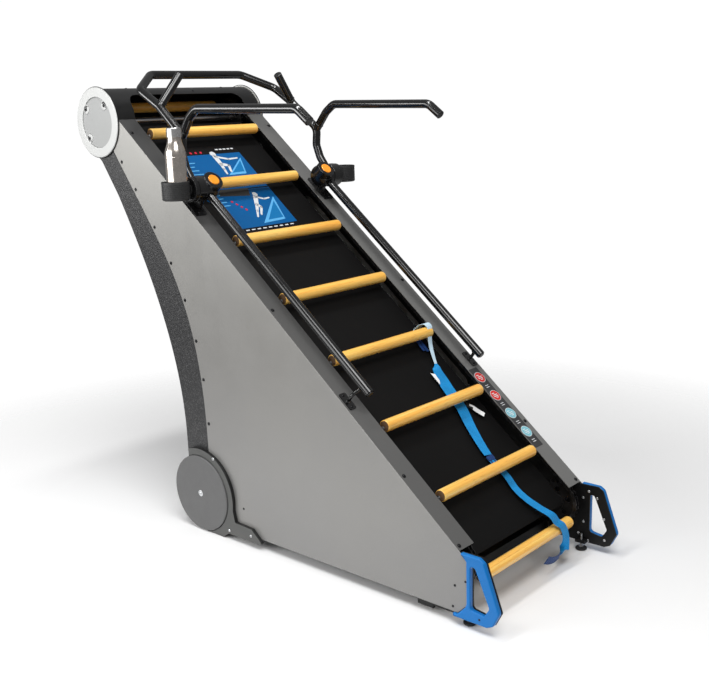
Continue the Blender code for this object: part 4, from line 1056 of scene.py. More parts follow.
# --- hubs on necks and base plates, each with a button facing the user ---
HUB_R = 0.0455
NOSE_X, NOSE_LENGTH = 0.266, 0.034
COLLAR_IN, COLLAR_OUT = 0.3425, 0.3775
BUTTON_RISE = radians(42.0)
BUTTON_AXIS = Vector((0.0, -cos(BUTTON_RISE), sin(BUTTON_RISE)))
BUTTON_X, BUTTON_SEAT = 0.3025, 0.0345
HUB_BASE_TOP = 0.0106
NOSE = [(NOSE_X + NOSE_LENGTH * (1 - cos(pi / 2 * k / 14)), HUB_R * sin(pi / 2 * k / 14))
        for k in range(1, 15)]
BARREL_PROFILE = (
    [(NOSE_X, 0.0)] + NOSE
    + [(0.3165, HUB_R), (0.3168, HUB_R - 0.0012), (0.3186, HUB_R - 0.0012), (0.3189, HUB_R),
       (0.3405, HUB_R), (0.3414, HUB_R - 0.0006), (COLLAR_IN - 0.0005, HUB_R - 0.0015),
       (COLLAR_IN - 0.0005, 0.029), (COLLAR_OUT + 0.0005, 0.029),
       (COLLAR_OUT + 0.0005, HUB_R - 0.0015), (0.3790, HUB_R), (0.3925, HUB_R),
       (0.3951, HUB_R - 0.0010), (0.3963, HUB_R - 0.0030), (0.3965, HUB_R - 0.0060),
       (0.3965, 0.0)])
NECK_RINGS = ((0.0100, 1.396, 1.460), (0.0200, 1.398, 1.458),
              (0.0600, 1.404, 1.452))  # out, along from, along to
BOSS_PROFILE = [(0, 0), (0, 0.0385), (0.0430, 0.0385), (0.0448, 0.0380), (0.0460, 0.0368),
                (0.0465, 0.0350), (0.0465, 0.0262), (0.0461, 0.0252), (0.0461, 0)]
BUTTON_PROFILE = (
    [(0.0065, 0), (0.0065, 0.0220), (0.0072, 0.0226), (0.0118, 0.0226)]
    + [(0.0118 + 0.0032 * sin(a), 0.0226 - 0.0028 * (1 - cos(a)) - 0.0006 * sin(a))
       for a in map(radians, (20, 40, 60, 80, 90))]
    + [(0.0150, 0.0150), (0.0147, 0.0090), (0.0145, 0)])
for side, sign in SIDES:
    neck = bmesh.new()
    skin(neck, [[slope3(sign * x, along, out)
                 for x, along in rounded(rect(0.3185, 0.3410, low, high), 0.007, 5)]
                for out, low, high in NECK_RINGS])
    base = bmesh.new()
    slope_plate(base, rounded(rect(0.318, 0.372, 1.362, 1.492), 0.009, 6),
                PLATE_LOW, HUB_BASE_TOP, sign=sign)
    middle = Vector((sign * BUTTON_X, *HUB))
    seat = middle + BUTTON_AXIS * BUTTON_SEAT
    mesh = boolean(new_lathe(BARREL_PROFILE, (0, *HUB), (sign, 0, 0), 96),
                   [neck, base, new_lathe(BOSS_PROFILE, middle, BUTTON_AXIS, 72)], "UNION")
    mesh = boolean(mesh, [new_lathe(rod(0, 0.05, 0.0232), seat, BUTTON_AXIS, 56)])
    put("hub_body_" + side, mesh, HUB_BLACK, replaces="hub_" + side, slot="hub_black",
        angle=34, bevel=(0.0006, 2))
    put_screws("hub_base_screws_" + side,
               [slope3(sign * 0.3505, along, HUB_BASE_TOP) for along in (1.374, 1.480)],
               OUT, BLACK_OXIDE, radius=0.0054, height=0.0026, seg=24)
    put("button_cap_" + side, new_lathe(BUTTON_PROFILE, seat, BUTTON_AXIS, 64), BUTTON_ORANGE,
        body="button_" + side, replaces="button_" + side, slot="button_orange", angle=40)

# --- cup holders: grooved sleeves outboard of the hubs ---
CUP_X, CUP_R, CUP_HEIGHT = 0.448, 0.0510, 0.068
CUP_Y = HUB[0] + 0.008
CUP_LOW = HUB[1] - CUP_HEIGHT / 2
CUP_PROFILE = [(0, 0), (0, CUP_R - 0.006), (0.0010, CUP_R - 0.0030),
               (0.0036, CUP_R - 0.0006), (0.006, CUP_R)]
for k in range(8):
    z = 0.0085 + 0.0066 * k
    CUP_PROFILE += [(z, CUP_R), (z + 0.0006, CUP_R - 0.0011),
                    (z + 0.0018, CUP_R - 0.0011), (z + 0.0024, CUP_R)]
CUP_PROFILE += [(CUP_HEIGHT - 0.0060, CUP_R), (CUP_HEIGHT - 0.0012, CUP_R),
                (CUP_HEIGHT - 0.0002, CUP_R - 0.0010), (CUP_HEIGHT, CUP_R - 0.0022),
                (CUP_HEIGHT - 0.0004, 0.0478), (CUP_HEIGHT - 0.0016, 0.0472),
                (0.0050, 0.0472), (0.0040, 0.0462), (0.0040, 0)]
for side, sign in SIDES:
    mesh = new_lathe(CUP_PROFILE, (sign * CUP_X, CUP_Y, CUP_LOW), (0, 0, 1), 112)
    lathe(mesh, [(0.3968, 0), (0.3968, 0.0212), (0.3975, 0.0220), (0.4000, 0.0220),
                 (0.4000, 0)], (0, *HUB), (sign, 0, 0), 48)
    put("cup_sleeve_" + side, mesh, SLEEVE_RUBBER, replaces="cup_holder_" + side,
        slot="cup_rubber", angle=38)

# --- bottle in the left holder, with a ribbed cap ---
BOTTLE = (-(CUP_X - 0.005), CUP_Y - 0.006, CUP_LOW + 0.0045)
BOTTLE_R, NECK_R = 0.0378, 0.0243
SHOULDER = [(0.158 + 0.062 * k / 16,
             BOTTLE_R - (BOTTLE_R - NECK_R) * (0.5 - 0.5 * cos(pi * k / 16)))
            for k in range(17)]
BOTTLE_PROFILE = (
    [(0, 0), (0, 0.0330), (0.0010, 0.0346), (0.0026, 0.0363), (0.0046, 0.0374),
     (0.0065, BOTTLE_R), (0.150, BOTTLE_R), (0.1504, 0.0375), (0.1512, 0.0375),
     (0.1516, BOTTLE_R)] + SHOULDER + [(0.2206, 0.0240), (0.2206, 0)])
CAP_PROFILE = [(0.2206, 0), (0.2206, 0.0262), (0.2212, 0.0268), (0.2480, 0.0268),
               (0.2500, 0.0266), (0.2518, 0.0260), (0.2532, 0.0248), (0.2540, 0.0225),
               (0.2540, 0.0)]
CAP_RIBS = 40
mesh = new_lathe(BOTTLE_PROFILE, BOTTLE, (0, 0, 1), 96)
lathe(mesh, CAP_PROFILE, BOTTLE, (0, 0, 1), 96, mat=1)
for k in range(CAP_RIBS):
    angle = 2 * pi * k / CAP_RIBS
    radial = Vector((cos(angle), sin(angle), 0))
    box(mesh, Vector(BOTTLE) + radial * 0.02672 + Vector((0, 0, 0.2350)),
        (0.0016, 0.0010, 0.021), (Vector((-radial.y, radial.x, 0)), radial, (0, 0, 1)), mat=1)
put("bottle_body", mesh, [BOTTLE_STEEL, BOTTLE_CAP], body="bottle", replaces="bottle",
    slot="bottle_steel", angle=34)

# --- handlebar frame; points are (x, y, z) with y and z as spot() takes them ---
TUBE_R = 0.0165
JOINT = (0.357, 1.105, 1.170)
ARM_START = (JOINT[0], JOINT[1] + 0.003, JOINT[2] - 0.004)
ARM_ELBOW = (0.361, 1.052, 1.2360)
ARM_BEND, ARM_TIP = (0.351, 0.510, 1.2545), (0.352, 0.456, 1.2130)
GRIP_START, GRIP_TIP = (0.3490, 1.236, 1.277), (0.2570, 1.221, 1.392)
HALF_LOOP = [(0.360, 1.0649, 1.0097), (0.359, 1.0950, 1.0520), (0.358, 1.1130, 1.1030), JOINT,
             (0.3495, 1.237, 1.278), (0.354, 1.344, 1.342), (0.235, 1.427, 1.401)]
COLLAR_PROFILE = [
    (COLLAR_IN, 0.0300), (COLLAR_IN, 0.0462), (COLLAR_IN + 0.0008, 0.0470),
    (COLLAR_OUT - 0.0008, 0.0470), (COLLAR_OUT, 0.0462), (COLLAR_OUT, 0.0300),
    (COLLAR_OUT - 0.0005, 0.0295), (COLLAR_IN + 0.0005, 0.0295)]


def bar_points(sign, *points):
    return [Vector((sign * x, *spot(y, z))) for x, y, z in points]


def weld(mesh, start, end, offset):
    """A rippled bead round a bar, offset from its start."""
    along = (end - start).normalized()
    side = along.orthogonal().normalized()
    bead = ring_points(start + along * offset, side, along.cross(side), TUBE_R, 56)
    ripple = [0.00175 * (1.0 + 0.22 * (k % 2)) for k in range(57)]
    tube(mesh, bead + bead[:1], ripple, 8)


mesh = bmesh.new()
loop = bar_points(-1, *HALF_LOOP) + bar_points(1, *HALF_LOOP[::-1])
tube(mesh, filleted(loop, 0.045, 12), TUBE_R, 36)
for side, sign in SIDES:
    ring_lathe(mesh, COLLAR_PROFILE, (0, *HUB), (sign, 0, 0), 96)
    arm = bar_points(sign, ARM_START, ARM_ELBOW, (0.3625, 1.010, 1.2660), ARM_BEND, ARM_TIP)
    tube(mesh, filleted(arm, 0.050, 12), TUBE_R, 36)
    tube(mesh, bar_points(sign, GRIP_START, GRIP_TIP), TUBE_R, 36)
put("handlebar_tubes", mesh, ENAMEL, body="handlebar", replaces="handlebar",
    slot="frame_black", angle=32)

mesh = bmesh.new()
for side, sign in SIDES:
    weld(mesh, *bar_points(sign, JOINT, ARM_ELBOW), offset=0.0215)
    weld(mesh, *bar_points(sign, GRIP_START, GRIP_TIP), offset=0.0190)
put("handlebar_welds", mesh, ENAMEL, body="handlebar", angle=60)

mesh = bmesh.new()
for side, sign in SIDES:
    for ends in ((ARM_BEND, ARM_TIP), (GRIP_START, GRIP_TIP)):
        base, tip = bar_points(sign, *ends)
        lathe(mesh, [(-0.0002, 0), (-0.0002, TUBE_R + 0.0002), (0.0012, TUBE_R + 0.0001),
                     (0.0026, TUBE_R - 0.0012), (0.0034, TUBE_R - 0.0045), (0.0036, 0)],
              tip, tip - base, 40)
put("handlebar_end_caps", mesh, CAP_BLACK, body="handlebar", angle=36)

# --- sprockets and upper bearings ---
CHAIN_X = 0.316
BORE_R = 0.0128
ROOT_R, TIP_R = CHAIN_R - 0.0058, CHAIN_R + 0.0052
TOOTH = ((-0.50, ROOT_R + 0.0006), (-0.42, ROOT_R), (-0.34, ROOT_R + 0.0004),
         (-0.24, ROOT_R + 0.0038), (-0.15, TIP_R - 0.0018), (-0.07, TIP_R), (0.07, TIP_R),
         (0.15, TIP_R - 0.0018), (0.24, ROOT_R + 0.0038), (0.34, ROOT_R + 0.0004),
         (0.42, ROOT_R))  # part of a tooth pitch, radius
BOSS_RING = [(CHAIN_X - 0.0052, BORE_R), (CHAIN_X - 0.0052, 0.0262),
             (CHAIN_X - 0.0046, 0.0270), (CHAIN_X + 0.0046, 0.0270),
             (CHAIN_X + 0.0052, 0.0262), (CHAIN_X + 0.0052, BORE_R)]
BEARING_RING = [(0.3385, 0.0130), (0.3385, 0.0385), (0.3393, 0.0400), (0.3640, 0.0400),
                (0.3647, 0.0392), (0.3647, 0.0130)]


def sprocket(name, centre, sign, body):
    outline = [polar(centre, radius, 2 * pi * k / TEETH + INCLINE + part * 2 * pi / TEETH)
               for k in range(TEETH) for part, radius in TOOTH]
    holes = [circle(centre, BORE_R, 32)]
    holes += [circle(polar(centre, 0.046, 2 * pi * k / 5 + 0.3), 0.0105, 24) for k in range(5)]
    mesh = plate(outline, holes, sign * CHAIN_X - 0.0030, sign * CHAIN_X + 0.0030)
    ring_lathe(mesh, BOSS_RING, (0, *centre), (sign, 0, 0), 56)
    put(name + "_wheel", mesh, SPROCKET_STEEL, body=body, replaces=name, slot="steel", angle=32)


for side, sign in SIDES:
    sprocket("upper_sprocket_" + side, DRUM, sign, "upper_drive")
    sprocket("lower_sprocket_" + side, IDLER, sign, "lower_idler")
    mesh = bmesh.new()
    ring_lathe(mesh, BEARING_RING, (0, *DRUM), (sign, 0, 0), 56)
    put("bearing_block_" + side, mesh, STEEL, replaces="upper_bearing_" + side, slot="steel",
        angle=32)

# --- shafts: name, centre, half length, radius, body, CAD piece ---
for name, centre, half, radius, body, piece in (
        ("upper_shaft_bar", DRUM, 0.3615, 0.0125, "upper_drive", "upper_shaft"),
        ("lower_axle_bar", IDLER, 0.3635, 0.0124, "root", "lower_axle")):
    tip, chamfer = radius - 0.0007, half - 0.0010
    mesh = new_lathe([(-half, 0), (-half, tip), (-chamfer, radius), (chamfer, radius),
                      (half, tip), (half, 0)], (0, *centre), ACROSS, 40)
    put(name, mesh, STEEL, body=body, replaces=piece, slot="steel", angle=32)

# --- brake: a drilled disc and a slotted caliper ---
holes = [circle(DRUM, BORE_R, 32)]
for k in range(24):
    vent = polar(DRUM, 0.084 if k % 2 else 0.072, 2 * pi * k / 24)
    holes.append(circle(vent, 0.0040, 14))
put("brake_rotor", plate(circle(DRUM, 0.100, 96), holes, -0.3345, -0.3297, bevel=0.0004),
    STEEL, body="upper_drive", replaces="brake_disc", slot="steel", angle=32)
CALIPER_ANGLE = radians(-62.0)


def caliper_prism(near, far, half_width, x0, x1):
    """A prism standing radially from the drum's axis."""
    ca, sa = cos(CALIPER_ANGLE), sin(CALIPER_ANGLE)
    outline = [(DRUM[0] + r * ca - t * sa, DRUM[1] + r * sa + t * ca)
               for r, t in rect(near, far, -half_width, half_width)]
    return new_prism(outline, x0, x1)


mesh = boolean(caliper_prism(0.070, 0.118, 0.026, -0.3636, -0.3270),
               [caliper_prism(0.050, 0.1025, 0.04, -0.3355, -0.3287)])
put("brake_caliper_body", mesh, FRAME_BLACK, replaces="brake_caliper", slot="frame_black",
    bevel=(0.002, 3))


# --- roller chains, link by link ---
def loop_place(x, travel, radius):
    """Place and outward direction on the loop, travel metres from rung 2 up the front."""
    travel = (travel - LOW_ALONG) % LOOP
    turn = pi * CHAIN_R
    if travel <= SPAN:
        middle, angle = LOW_ALONG + travel, 0.0
    elif travel <= SPAN + turn:
        middle, angle = TOP_ALONG, (travel - SPAN) / CHAIN_R
    elif travel <= 2 * SPAN + turn:
        middle, angle = TOP_ALONG - (travel - SPAN - turn), pi
    else:
        middle, angle = LOW_ALONG, (travel - 2 * SPAN - turn) / CHAIN_R + pi
    place = slope3(x, middle + radius * sin(angle), AXLE_OUT + radius * cos(angle))
    return place, UP_SLOPE * sin(angle) + OUT * cos(angle)


def link_outline(half, waist=0.0052, end=0.0078):
    """A figure-of-eight side plate, half the pitch each way."""
    outline = []
    for s in (1, -1):
        for k in range(-3, 4):
            angle = radians(30.0 * k)
            outline.append((s * (half + end * cos(angle)), s * end * sin(angle)))
        outline.append((s * -0.0008, s * waist))
    return outline


PIN_R, ROLLER_R = 0.0030, 0.0058
for side, sign in SIDES:
    mesh = bmesh.new()
    joints = [loop_place(sign * CHAIN_X, k * CHAIN_PITCH, CHAIN_R)[0]
              for k in range(RUNGS * LINKS_PER_RUNG)]
    axles = [Vector((sign * CHAIN_X, *centre)) for centre in (DRUM, IDLER)]
    for k, (joint, following) in enumerate(zip(joints, joints[1:] + joints[:1])):
        middle, along = (joint + following) / 2, (following - joint).normalized()
        square = ACROSS.cross(along)
        shape = link_outline((following - joint).length / 2)
        faces = (0.0058, 0.0074) if k % 2 else (0.0077, 0.0093)
        for s in (-1, 1):
            skin(mesh, [[middle + ACROSS * (s * x) + along * p + square * q for p, q in shape]
                        for x in faces])
        if min((joint - axle).length for axle in axles) > CHAIN_R + 0.0015:
            lathe(mesh, rod(-0.0098, 0.0098, PIN_R), joint, ACROSS, 8)
            lathe(mesh, rod(-0.0056, 0.0056, ROLLER_R), joint, ACROSS, 10, mat=1)
        else:
            # on the sprockets only the pin heads are made
            for s in (-1, 1):
                lathe(mesh, [(s * 0.0092, 0), (s * 0.0092, PIN_R), (s * 0.0099, 0.0028),
                             (s * 0.0099, 0)], joint, ACROSS, 8)
    put("chain_links_" + side, mesh, [CHAIN_STEEL, STEEL], replaces="chain_" + side,
        slot="steel", angle=40, weighted=False)

# --- rungs: turned wood with a groove, brown ends and steel pins ---
RUNG_R, RUNG_HALF, RUNG_SEG = 0.0215, 0.279, 56
GROOVE_DEPTH, GROOVE_WIDTH, GROOVE_END = 0.0016, 6.5, 0.262  # m, degrees, m
RUNG_END = [(-RUNG_HALF, 0.0188), (-RUNG_HALF + 0.0008, 0.0202),
            (-RUNG_HALF + 0.0022, 0.0211), (-RUNG_HALF + 0.0045, RUNG_R)]
RUNG_STATIONS = (
    RUNG_END
    + [(-RUNG_HALF + 0.0045 + (2 * RUNG_HALF - 0.009) * k / 24, RUNG_R) for k in range(1, 24)]
    + [(-x, radius) for x, radius in reversed(RUNG_END)])
PIN_PROFILE = [(RUNG_HALF - 0.004, 0), (RUNG_HALF - 0.004, 0.0040), (0.3048, 0.0040),
               (0.3055, 0.0034), (0.3055, 0)]
PIN_WASHER = [(RUNG_HALF - 0.0002, 0), (RUNG_HALF - 0.0002, 0.0078),
              (RUNG_HALF + 0.0008, 0.0078), (RUNG_HALF + 0.0012, 0.0074),
              (RUNG_HALF + 0.0012, 0)]


def rung(index):
    centre, outward = loop_place(0, (index - 2) * RUNG_PITCH, RUNG_TRACK_R)
    behind = outward.cross(ACROSS)
    rings = []
    for x, radius in RUNG_STATIONS:
        ring = []
        for k in range(RUNG_SEG):
            angle = 2 * pi * k / RUNG_SEG
            off = 360.0 * k / RUNG_SEG - 90.0
            off = abs((off + 180) % 360 - 180)
            depth = GROOVE_DEPTH * exp(-(off / GROOVE_WIDTH) ** 2) if abs(x) < GROOVE_END else 0.0
            ring.append(centre + ACROSS * x
                        + (outward * cos(angle) + behind * sin(angle)) * (radius - depth))
        rings.append(ring)
    mesh = bmesh.new()
    skin(mesh, rings, cap_mat=1)
    pin = centre - outward * (RUNG_TRACK_R - CHAIN_R)
    for side, sign in SIDES:
        lathe(mesh, PIN_PROFILE, pin, (sign, 0, 0), 24, mat=2)
        lathe(mesh, PIN_WASHER, pin, (sign, 0, 0), 28, mat=2)
    body = ("lower_idler" if index == 1 else "upper_drive" if index == 9
            else "front_run" if index <= 8 else "rear_run")
    put("rung_wood_%02d" % index, mesh, [BEECH, END_GRAIN, STEEL], body=body,
        replaces="rung_%02d" % index, slot="rung_wood", angle=38)


for index in range(1, RUNGS + 1):
    rung(index)

# --- printed panels on the deck: climbing figures and plain shapes in (x, along) ---
BLUE, MID_BLUE, LIGHT_BLUE, BLACK, WHITE, RED, GREY = range(7)
BACK, MIDDLE, TOP, MARK = 1, 2, 3, 4


def flat(mesh, outline, layer, mat=0):
    out = DECK_OUT + 0.0003 * layer
    slope_plate(mesh, outline, out, out + 0.00025, mat)


def limb(mesh, start, end, start_r, end_r):
    """A tapering stroke with round ends."""
    start, end = Vector(start), Vector(end)
    along = (end - start).normalized()
    side = Vector((-along.y, along.x))
    outline = []
    for centre, radius, first in ((start, start_r, pi / 2), (end, end_r, -pi / 2)):
        for k in range(9):
            angle = first + pi * k / 8
            outline.append(tuple(centre + (along * cos(angle) + side * sin(angle)) * radius))
    flat(mesh, outline, MARK, WHITE)


def figure(mesh, head, hip, feet, hand, scale):
    """A plain climbing pictogram."""
    head, hip, feet, hand = map(Vector, (head, hip, feet, hand))
    neck = head.lerp(hip, 0.26)
    knee = hip.lerp(feet, 0.48) + Vector((0.020, 0.010)) * scale
    other_knee = hip.lerp(feet, 0.55) + Vector((-0.014, -0.004)) * scale
    other_foot = feet + Vector((-0.026, -0.010)) * scale
    elbow = neck.lerp(hand, 0.5) + Vector((0.004, -0.010)) * scale
    flat(mesh, circle(head, 0.0125 * scale, 28), MARK, WHITE)
    for start, end, start_r, end_r in (
            (neck, hip, 0.0105, 0.0090), (hip, knee, 0.0080, 0.0062),
            (knee, feet, 0.0060, 0.0042), (hip, other_knee, 0.0078, 0.0058),
            (other_knee, other_foot, 0.0056, 0.0040), (neck, elbow, 0.0052, 0.0044),
            (elbow, hand, 0.0042, 0.0034)):
        limb(mesh, start, end, start_r * scale, end_r * scale)


mesh = bmesh.new()
flat(mesh, [(-0.236, 1.528), (0.147, 1.528), (0.145, 1.787), (-0.236, 1.787)], BACK, BLUE)
flat(mesh, [(-0.236, 1.740), (0.1455, 1.740), (0.145, 1.787), (-0.236, 1.787)], MIDDLE, BLACK)
flat(mesh, [(0.128, 1.708), (0.092, 1.6115), (-0.003, 1.610)], MIDDLE, LIGHT_BLUE)
flat(mesh, [(0.114, 1.690), (0.090, 1.6240), (0.024, 1.622)], TOP, MID_BLUE)
figure(mesh, head=(0.000, 1.740), hip=(0.000, 1.6765), feet=(0.022, 1.631),
       hand=(0.108, 1.706), scale=1.15)
for k in range(3):
    flat(mesh, circle((-0.055 - 0.026 * k, 1.753), 0.0060, 28), MARK, RED)
for k in range(5):
    flat(mesh, rect(0.030 + 0.021 * k, 0.044 + 0.021 * k, 1.761, 1.768), MARK, WHITE)
for k in range(7):
    flat(mesh, rect(-0.205, -0.125 - 0.008 * (k % 3), 1.560 + 0.022 * k, 1.565 + 0.022 * k),
         MARK, LIGHT_BLUE)
put("deck_print_upper", mesh, POSTER_INKS[:GREY], angle=30, weighted=False)

mesh = bmesh.new()
flat(mesh, [(-0.1585, 1.314), (0.147, 1.314), (0.147, 1.522), (-0.2200, 1.522)], BACK, BLUE)
flat(mesh, [(-0.154, 1.499), (-0.109, 1.534), (0.036, 1.528), (0.017, 1.484)], MIDDLE, GREY)
flat(mesh, [(0.128, 1.4655), (0.097, 1.335), (-0.025, 1.328)], MIDDLE, LIGHT_BLUE)
flat(mesh, [(0.112, 1.440), (0.094, 1.346), (0.010, 1.342)], TOP, MID_BLUE)
figure(mesh, head=(0.0445, 1.488), hip=(0.012, 1.431), feet=(-0.004, 1.376),
       hand=(0.102, 1.461), scale=1.0)
for k in range(4):
    flat(mesh, circle((-0.098 + 0.040 * k / 3, 1.461 - 0.050 * k / 3), 0.0055, 28), MARK, RED)
for k in range(4):
    flat(mesh, rect(-0.190 + 0.006 * k, -0.132 + 0.004 * k, 1.500 - 0.020 * k,
                    1.505 - 0.020 * k), MARK, LIGHT_BLUE)
put("deck_print_lower", mesh, POSTER_INKS, angle=30, weighted=False)

mesh = bmesh.new()
flat(mesh, rect(-0.158, 0.147, 1.292, 1.313), BACK)
for k in range(9):
    flat(mesh, rect(-0.140 + 0.030 * k, -0.122 + 0.030 * k, 1.300, 1.3055), MIDDLE, 1)
put("deck_print_footer", mesh, [POSTER_INKS[BLACK], POSTER_INKS[WHITE]], angle=30,
    weighted=False)

# --- the scale on the right flange: discs with plain bars, and ticks between them ---
STRIP_RED, STRIP_AQUA, STRIP_WHITE = 1, 2, 3
DISC_X = 0.3262
DISC_BARS = ((-0.0060, 0.009, 0.0150), (0.0010, 0.0015, 0.0240), (0.0000, -0.0055, 0.0260),
             (0.0020, -0.0120, 0.0130))  # x offset, along offset, width


def label(mesh, outline, layer, mat=0):
    out = FLANGE_TOP - 0.0001 + 0.0003 * layer
    slope_plate(mesh, outline, out, out + 0.00022, mat)


mesh = bmesh.new()
label(mesh, rounded(rect(0.3005, 0.3520, 0.000, 0.394), 0.004, 3), BACK)
for along, color in ((0.348, STRIP_RED), (0.255, STRIP_RED),
                     (0.165, STRIP_AQUA), (0.074, STRIP_AQUA)):
    label(mesh, circle((DISC_X, along), 0.0246, 40), MIDDLE, STRIP_WHITE)
    label(mesh, circle((DISC_X, along), 0.0228, 40), TOP, color)
    for dx, rise, width in DISC_BARS:
        label(mesh, rect(DISC_X + dx - width / 2, DISC_X + dx + width / 2,
                         along + rise, along + rise + 0.0030), MARK, STRIP_WHITE)
for along in (0.301, 0.210, 0.119, 0.029):
    for k in (-1, 1):
        low = along + k * 0.0045
        label(mesh, rect(0.3150, 0.3340, low, low + 0.0024), TOP, STRIP_WHITE)
put("flange_scale", mesh, STRIP_INKS, angle=30, weighted=False)


# --- waist strap: webbing over rung 4 and down past rungs 3 to 1; points (x, along, out) ---
def put_strap(name, mesh, materials, **more):
    put(name, mesh, materials, body="front_run", **{"angle": 45, "weighted": False, **more})


# lap over rung 4, pale as a painted highlight, narrowing as it falls to the twist
TWIST_POINT = (0.2220, 0.4850, -0.0360)
lap = slope_path([
    (0.2450, 0.6420, -0.0300), (0.2520, 0.6460, -0.0120), (0.2580, 0.6440, 0.0100),
    (0.2620, 0.6340, 0.0235), (0.2640, 0.6220, 0.0260), (0.2630, 0.6080, 0.0200),
    (0.2600, 0.5900, 0.0000), (0.2520, 0.5600, -0.0200), (0.2380, 0.5200, -0.0320),
    TWIST_POINT], 7)
last = len(lap) - 1
mesh = bmesh.new()
ribbon(mesh, lap, [ACROSS] * len(lap),
       [0.043 - 0.030 * (k / last) ** 1.3 for k in range(len(lap))], 0.0022)
put_strap("strap_lap", mesh, STRAP_HIGHLIGHT_WEB)

# short dark ends that hang behind rung 4
mesh = bmesh.new()
for x, low in ((0.2230, 0.5560), (0.2400, 0.5480)):
    ends = slope_path([(x + 0.006, 0.6300, -0.0320), (x + 0.002, 0.5900, -0.0370),
                       (x, low, -0.0380)], 5)
    ribbon(mesh, ends, [ACROSS] * len(ends), 0.0140, 0.0020)
put_strap("strap_ends", mesh, NAVY_WEB)

# main band: from the twist, behind rung 3, down to the buckle
band = slope_path([
    TWIST_POINT, (0.2064, 0.4628, -0.0365), (0.1904, 0.4105, -0.0375),
    (0.1793, 0.3576, -0.0370), (0.1674, 0.2807, -0.0365), (0.1386, 0.2011, -0.0360),
    (0.1181, 0.1304, -0.0360), (0.1057, 0.0680, -0.0360)], 9)
widths, turns = [], []
for k in range(len(band)):
    t = k / (len(band) - 1)
    swell = min(t / 0.30, 1.0)
    taper = 1.0 - 0.36 * max(t - 0.45, 0.0) / 0.55
    widths.append((0.013 + 0.047 * swell * swell * (3 - 2 * swell)) * taper)
    twist = radians(55.0) * exp(-((t - 0.06) / 0.07) ** 2)
    turns.append(ACROSS * cos(twist) + OUT * sin(twist))
mesh = bmesh.new()
ribbon(mesh, band, turns, widths, 0.0022)
put_strap("strap_band", mesh, AZURE_WEB, replaces="waist_strap", slot="strap_blue")

# a small white tag by the twist and a long one beside rung 3
mesh = bmesh.new()
slope_plate(mesh, [(0.1560, 0.4540), (0.1740, 0.4440), (0.1700, 0.4120), (0.1560, 0.3960)],
            -0.0350, -0.0340)
put_strap("strap_tag_white", mesh, TAG_WHITE, angle=30)
tag = slope_path([(0.2040, 0.2860, -0.0370), (0.2180, 0.2620, -0.0345),
                  (0.2300, 0.2420, -0.0355), (0.2450, 0.2150, -0.0340)], 6)
mesh = bmesh.new()
ribbon(mesh, tag, [ACROSS] * len(tag), 0.0240, 0.0012)
for face in mesh.faces:
    if face.calc_center_median().x < 0.2160:
        face.material_index = 1
put_strap("strap_tag_long", mesh, [TAG_WHITE, TAG_BLACK], angle=30)

# buckle and the two dark tabs above rung 2
mesh = bmesh.new()
slope_plate(mesh, rounded(rect(0.0860, 0.1240, 0.0440, 0.0640), 0.004, 5), -0.0375, -0.0325)
for x in (0.0950, 0.1150):
    box(mesh, slope3(x, 0.0400, -0.0350), (0.008, 0.018, 0.003), (ACROSS, UP_SLOPE, OUT))
put_strap("strap_buckle", mesh, NAVY_WEB, angle=34, weighted=True, bevel=(0.0008, 2))

# free end: down past rungs 2 and 1, then hanging in front; the last points are row x, y, z
TAIL_END = (0.1700, -0.9020, 0.0470)
tail = smooth_path([slope3(*p) for p in (
    (0.1050, 0.0500, -0.0362), (0.1068, 0.0000, -0.0340), (0.1045, -0.0400, -0.0310),
    (0.0960, -0.0900, -0.0300), (0.1060, -0.1400, -0.0300), (0.1262, -0.1850, -0.0290),
    (0.1500, -0.2330, -0.0260))] + [
    (0.1720, -0.8880, 0.1720), (0.1890, -0.9000, 0.1520), (0.2060, -0.9020, 0.1220),
    (0.2130, -0.9010, 0.0880), (0.2020, -0.9000, 0.0600), TAIL_END], 8)
turns = []
for k in range(len(tail)):
    angle = radians(70.0) * max(k / (len(tail) - 1) - 0.72, 0.0) / 0.28
    turns.append(ACROSS * cos(angle) + Vector((0, -0.55, 0.83)) * sin(angle))
mesh = bmesh.new()
ribbon(mesh, tail, turns, 0.035, 0.0020)
put_strap("strap_tail", mesh, AZURE_WEB)
tip = smooth_path([TAIL_END, (0.1400, -0.9040, 0.0450), (0.1050, -0.9050, 0.0520),
                   (0.0760, -0.9050, 0.0640)], 7)
mesh = bmesh.new()
ribbon(mesh, tip, [(0, -0.4, 0.92)] * len(tip), 0.034, 0.0022)
put_strap("strap_tip", mesh, NAVY_WEB)

# --- fixings at the base of the frame ---
FRAME_BOLTS = spots((-0.167, -0.172), (-0.170, -0.266), (-0.150, -0.316))
for side, sign in SIDES:
    put_screws("frame_bolts_" + side, [(sign * FRAME_IN, *p) for p in FRAME_BOLTS],
               (-sign, 0, 0), ZINC, radius=0.0050, height=0.0024)


# --- floor: a pale disc that fades out towards its rim ---
def floor_material():
    shader = Shader("floor_pale")
    distance = shader.add("VectorMath", "Value", {0: shader.coord}, operation="LENGTH")
    fade = shader.ramp(shader.math("MULTIPLY", distance, 0.33), (0.45, 1.0), (0.95, 0.0))
    normal = shader.bump(shader.noise(scale=3.0), strength=0.01, distance=0.0005)
    return shader.finish((0.90, 0.90, 0.90), 0.55, normal, Alpha=fade)


mesh = bmesh.new()
bmesh.ops.create_circle(mesh, cap_ends=True, segments=96, radius=3.0)
floor = link_mesh("floor", mesh, orient=False)
floor.data.materials.append(floor_material())
floor.location = (0.0, 0.0, -0.0006)


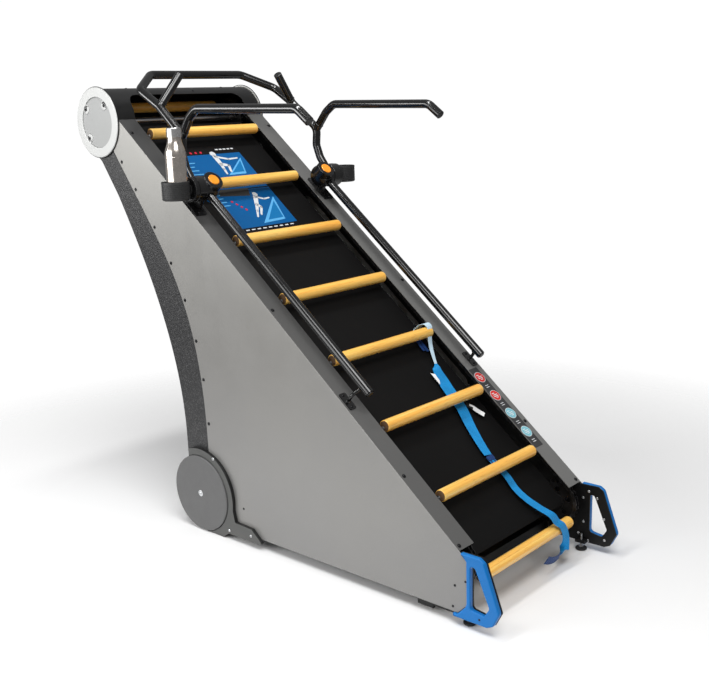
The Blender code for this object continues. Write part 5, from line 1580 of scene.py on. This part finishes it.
# --- world: white to the camera, a soft grey gradient to everything else ---
def studio_world():
    world = bpy.data.worlds.new("studio")
    bpy.context.scene.world = world
    world.use_nodes = True
    world.node_tree.nodes.clear()
    graph = Graph(world.node_tree, coord="Generated")
    level = graph.add("Math", 0, {0: graph.height(), 1: 0.5, 2: 0.5}, operation="MULTIPLY_ADD")
    gradient = graph.ramp(level, (0.0, (0.30, 0.30, 0.31)), (1.0, (0.62, 0.62, 0.62)))
    soft = graph.add("Background", 0, {"Color": gradient, "Strength": 0.55})
    bright = graph.add("Background", 0, {"Color": (1, 1, 1), "Strength": 1.02})
    camera_ray = graph.add("LightPath", "Is Camera Ray")
    mixed = graph.add("MixShader", 0, {0: camera_ray, 1: soft, 2: bright})
    output = graph.tree.nodes.new("ShaderNodeOutputWorld")
    graph.feed(output.inputs["Surface"], mixed)


studio_world()


# --- lights ---
def area(name, place, aim, size, power, size_y=None):
    data = bpy.data.lights.new(name, "AREA")
    data.shape = "RECTANGLE"
    data.size = size
    data.size_y = size_y or size
    data.energy = power
    ob = bpy.data.objects.new(name, data)
    ob.location = place
    ob.rotation_euler = (Vector(aim) - Vector(place)).to_track_quat("-Z", "Y").to_euler()
    SCENE.objects.link(ob)


area("key", place=(-1.4, -2.2, 4.2), aim=(0.0, 0.1, 0.8), size=2.2, power=120)
area("strip_top", place=(-0.8, 0.2, 4.3), aim=(0.0, 0.1, 1.2), size=0.30, power=70, size_y=3.0)
area("fill_left", place=(-3.9, 0.8, 1.8), aim=(-0.4, 0.5, 0.8), size=2.2, power=55)
area("sheen_left", place=(-3.3, 3.0, 1.9), aim=(-0.4, 0.3, 0.9), size=1.5, power=62)

# --- camera, placed by its own axes ---
CAMERA_RIGHT = (0.6661, -0.74508, -0.03406)
CAMERA_UP = (0.19772, 0.13236, 0.97128)
CAMERA_BACK = (-0.71917, -0.65371, 0.23548)
CAMERA_PLACE = (-2.7589, -2.6112, 1.630)
lens = bpy.data.cameras.new("camera")
lens.lens = 51.23
lens.sensor_width = 36.0
lens.sensor_fit = "HORIZONTAL"
camera = bpy.data.objects.new("camera", lens)
camera.matrix_world = Matrix(((*CAMERA_RIGHT, 0), (*CAMERA_UP, 0), (*CAMERA_BACK, 0),
                              (*CAMERA_PLACE, 1))).transposed()
SCENE.objects.link(camera)
bpy.context.scene.camera = camera
bpy.context.scene.view_settings.view_transform = "Standard"
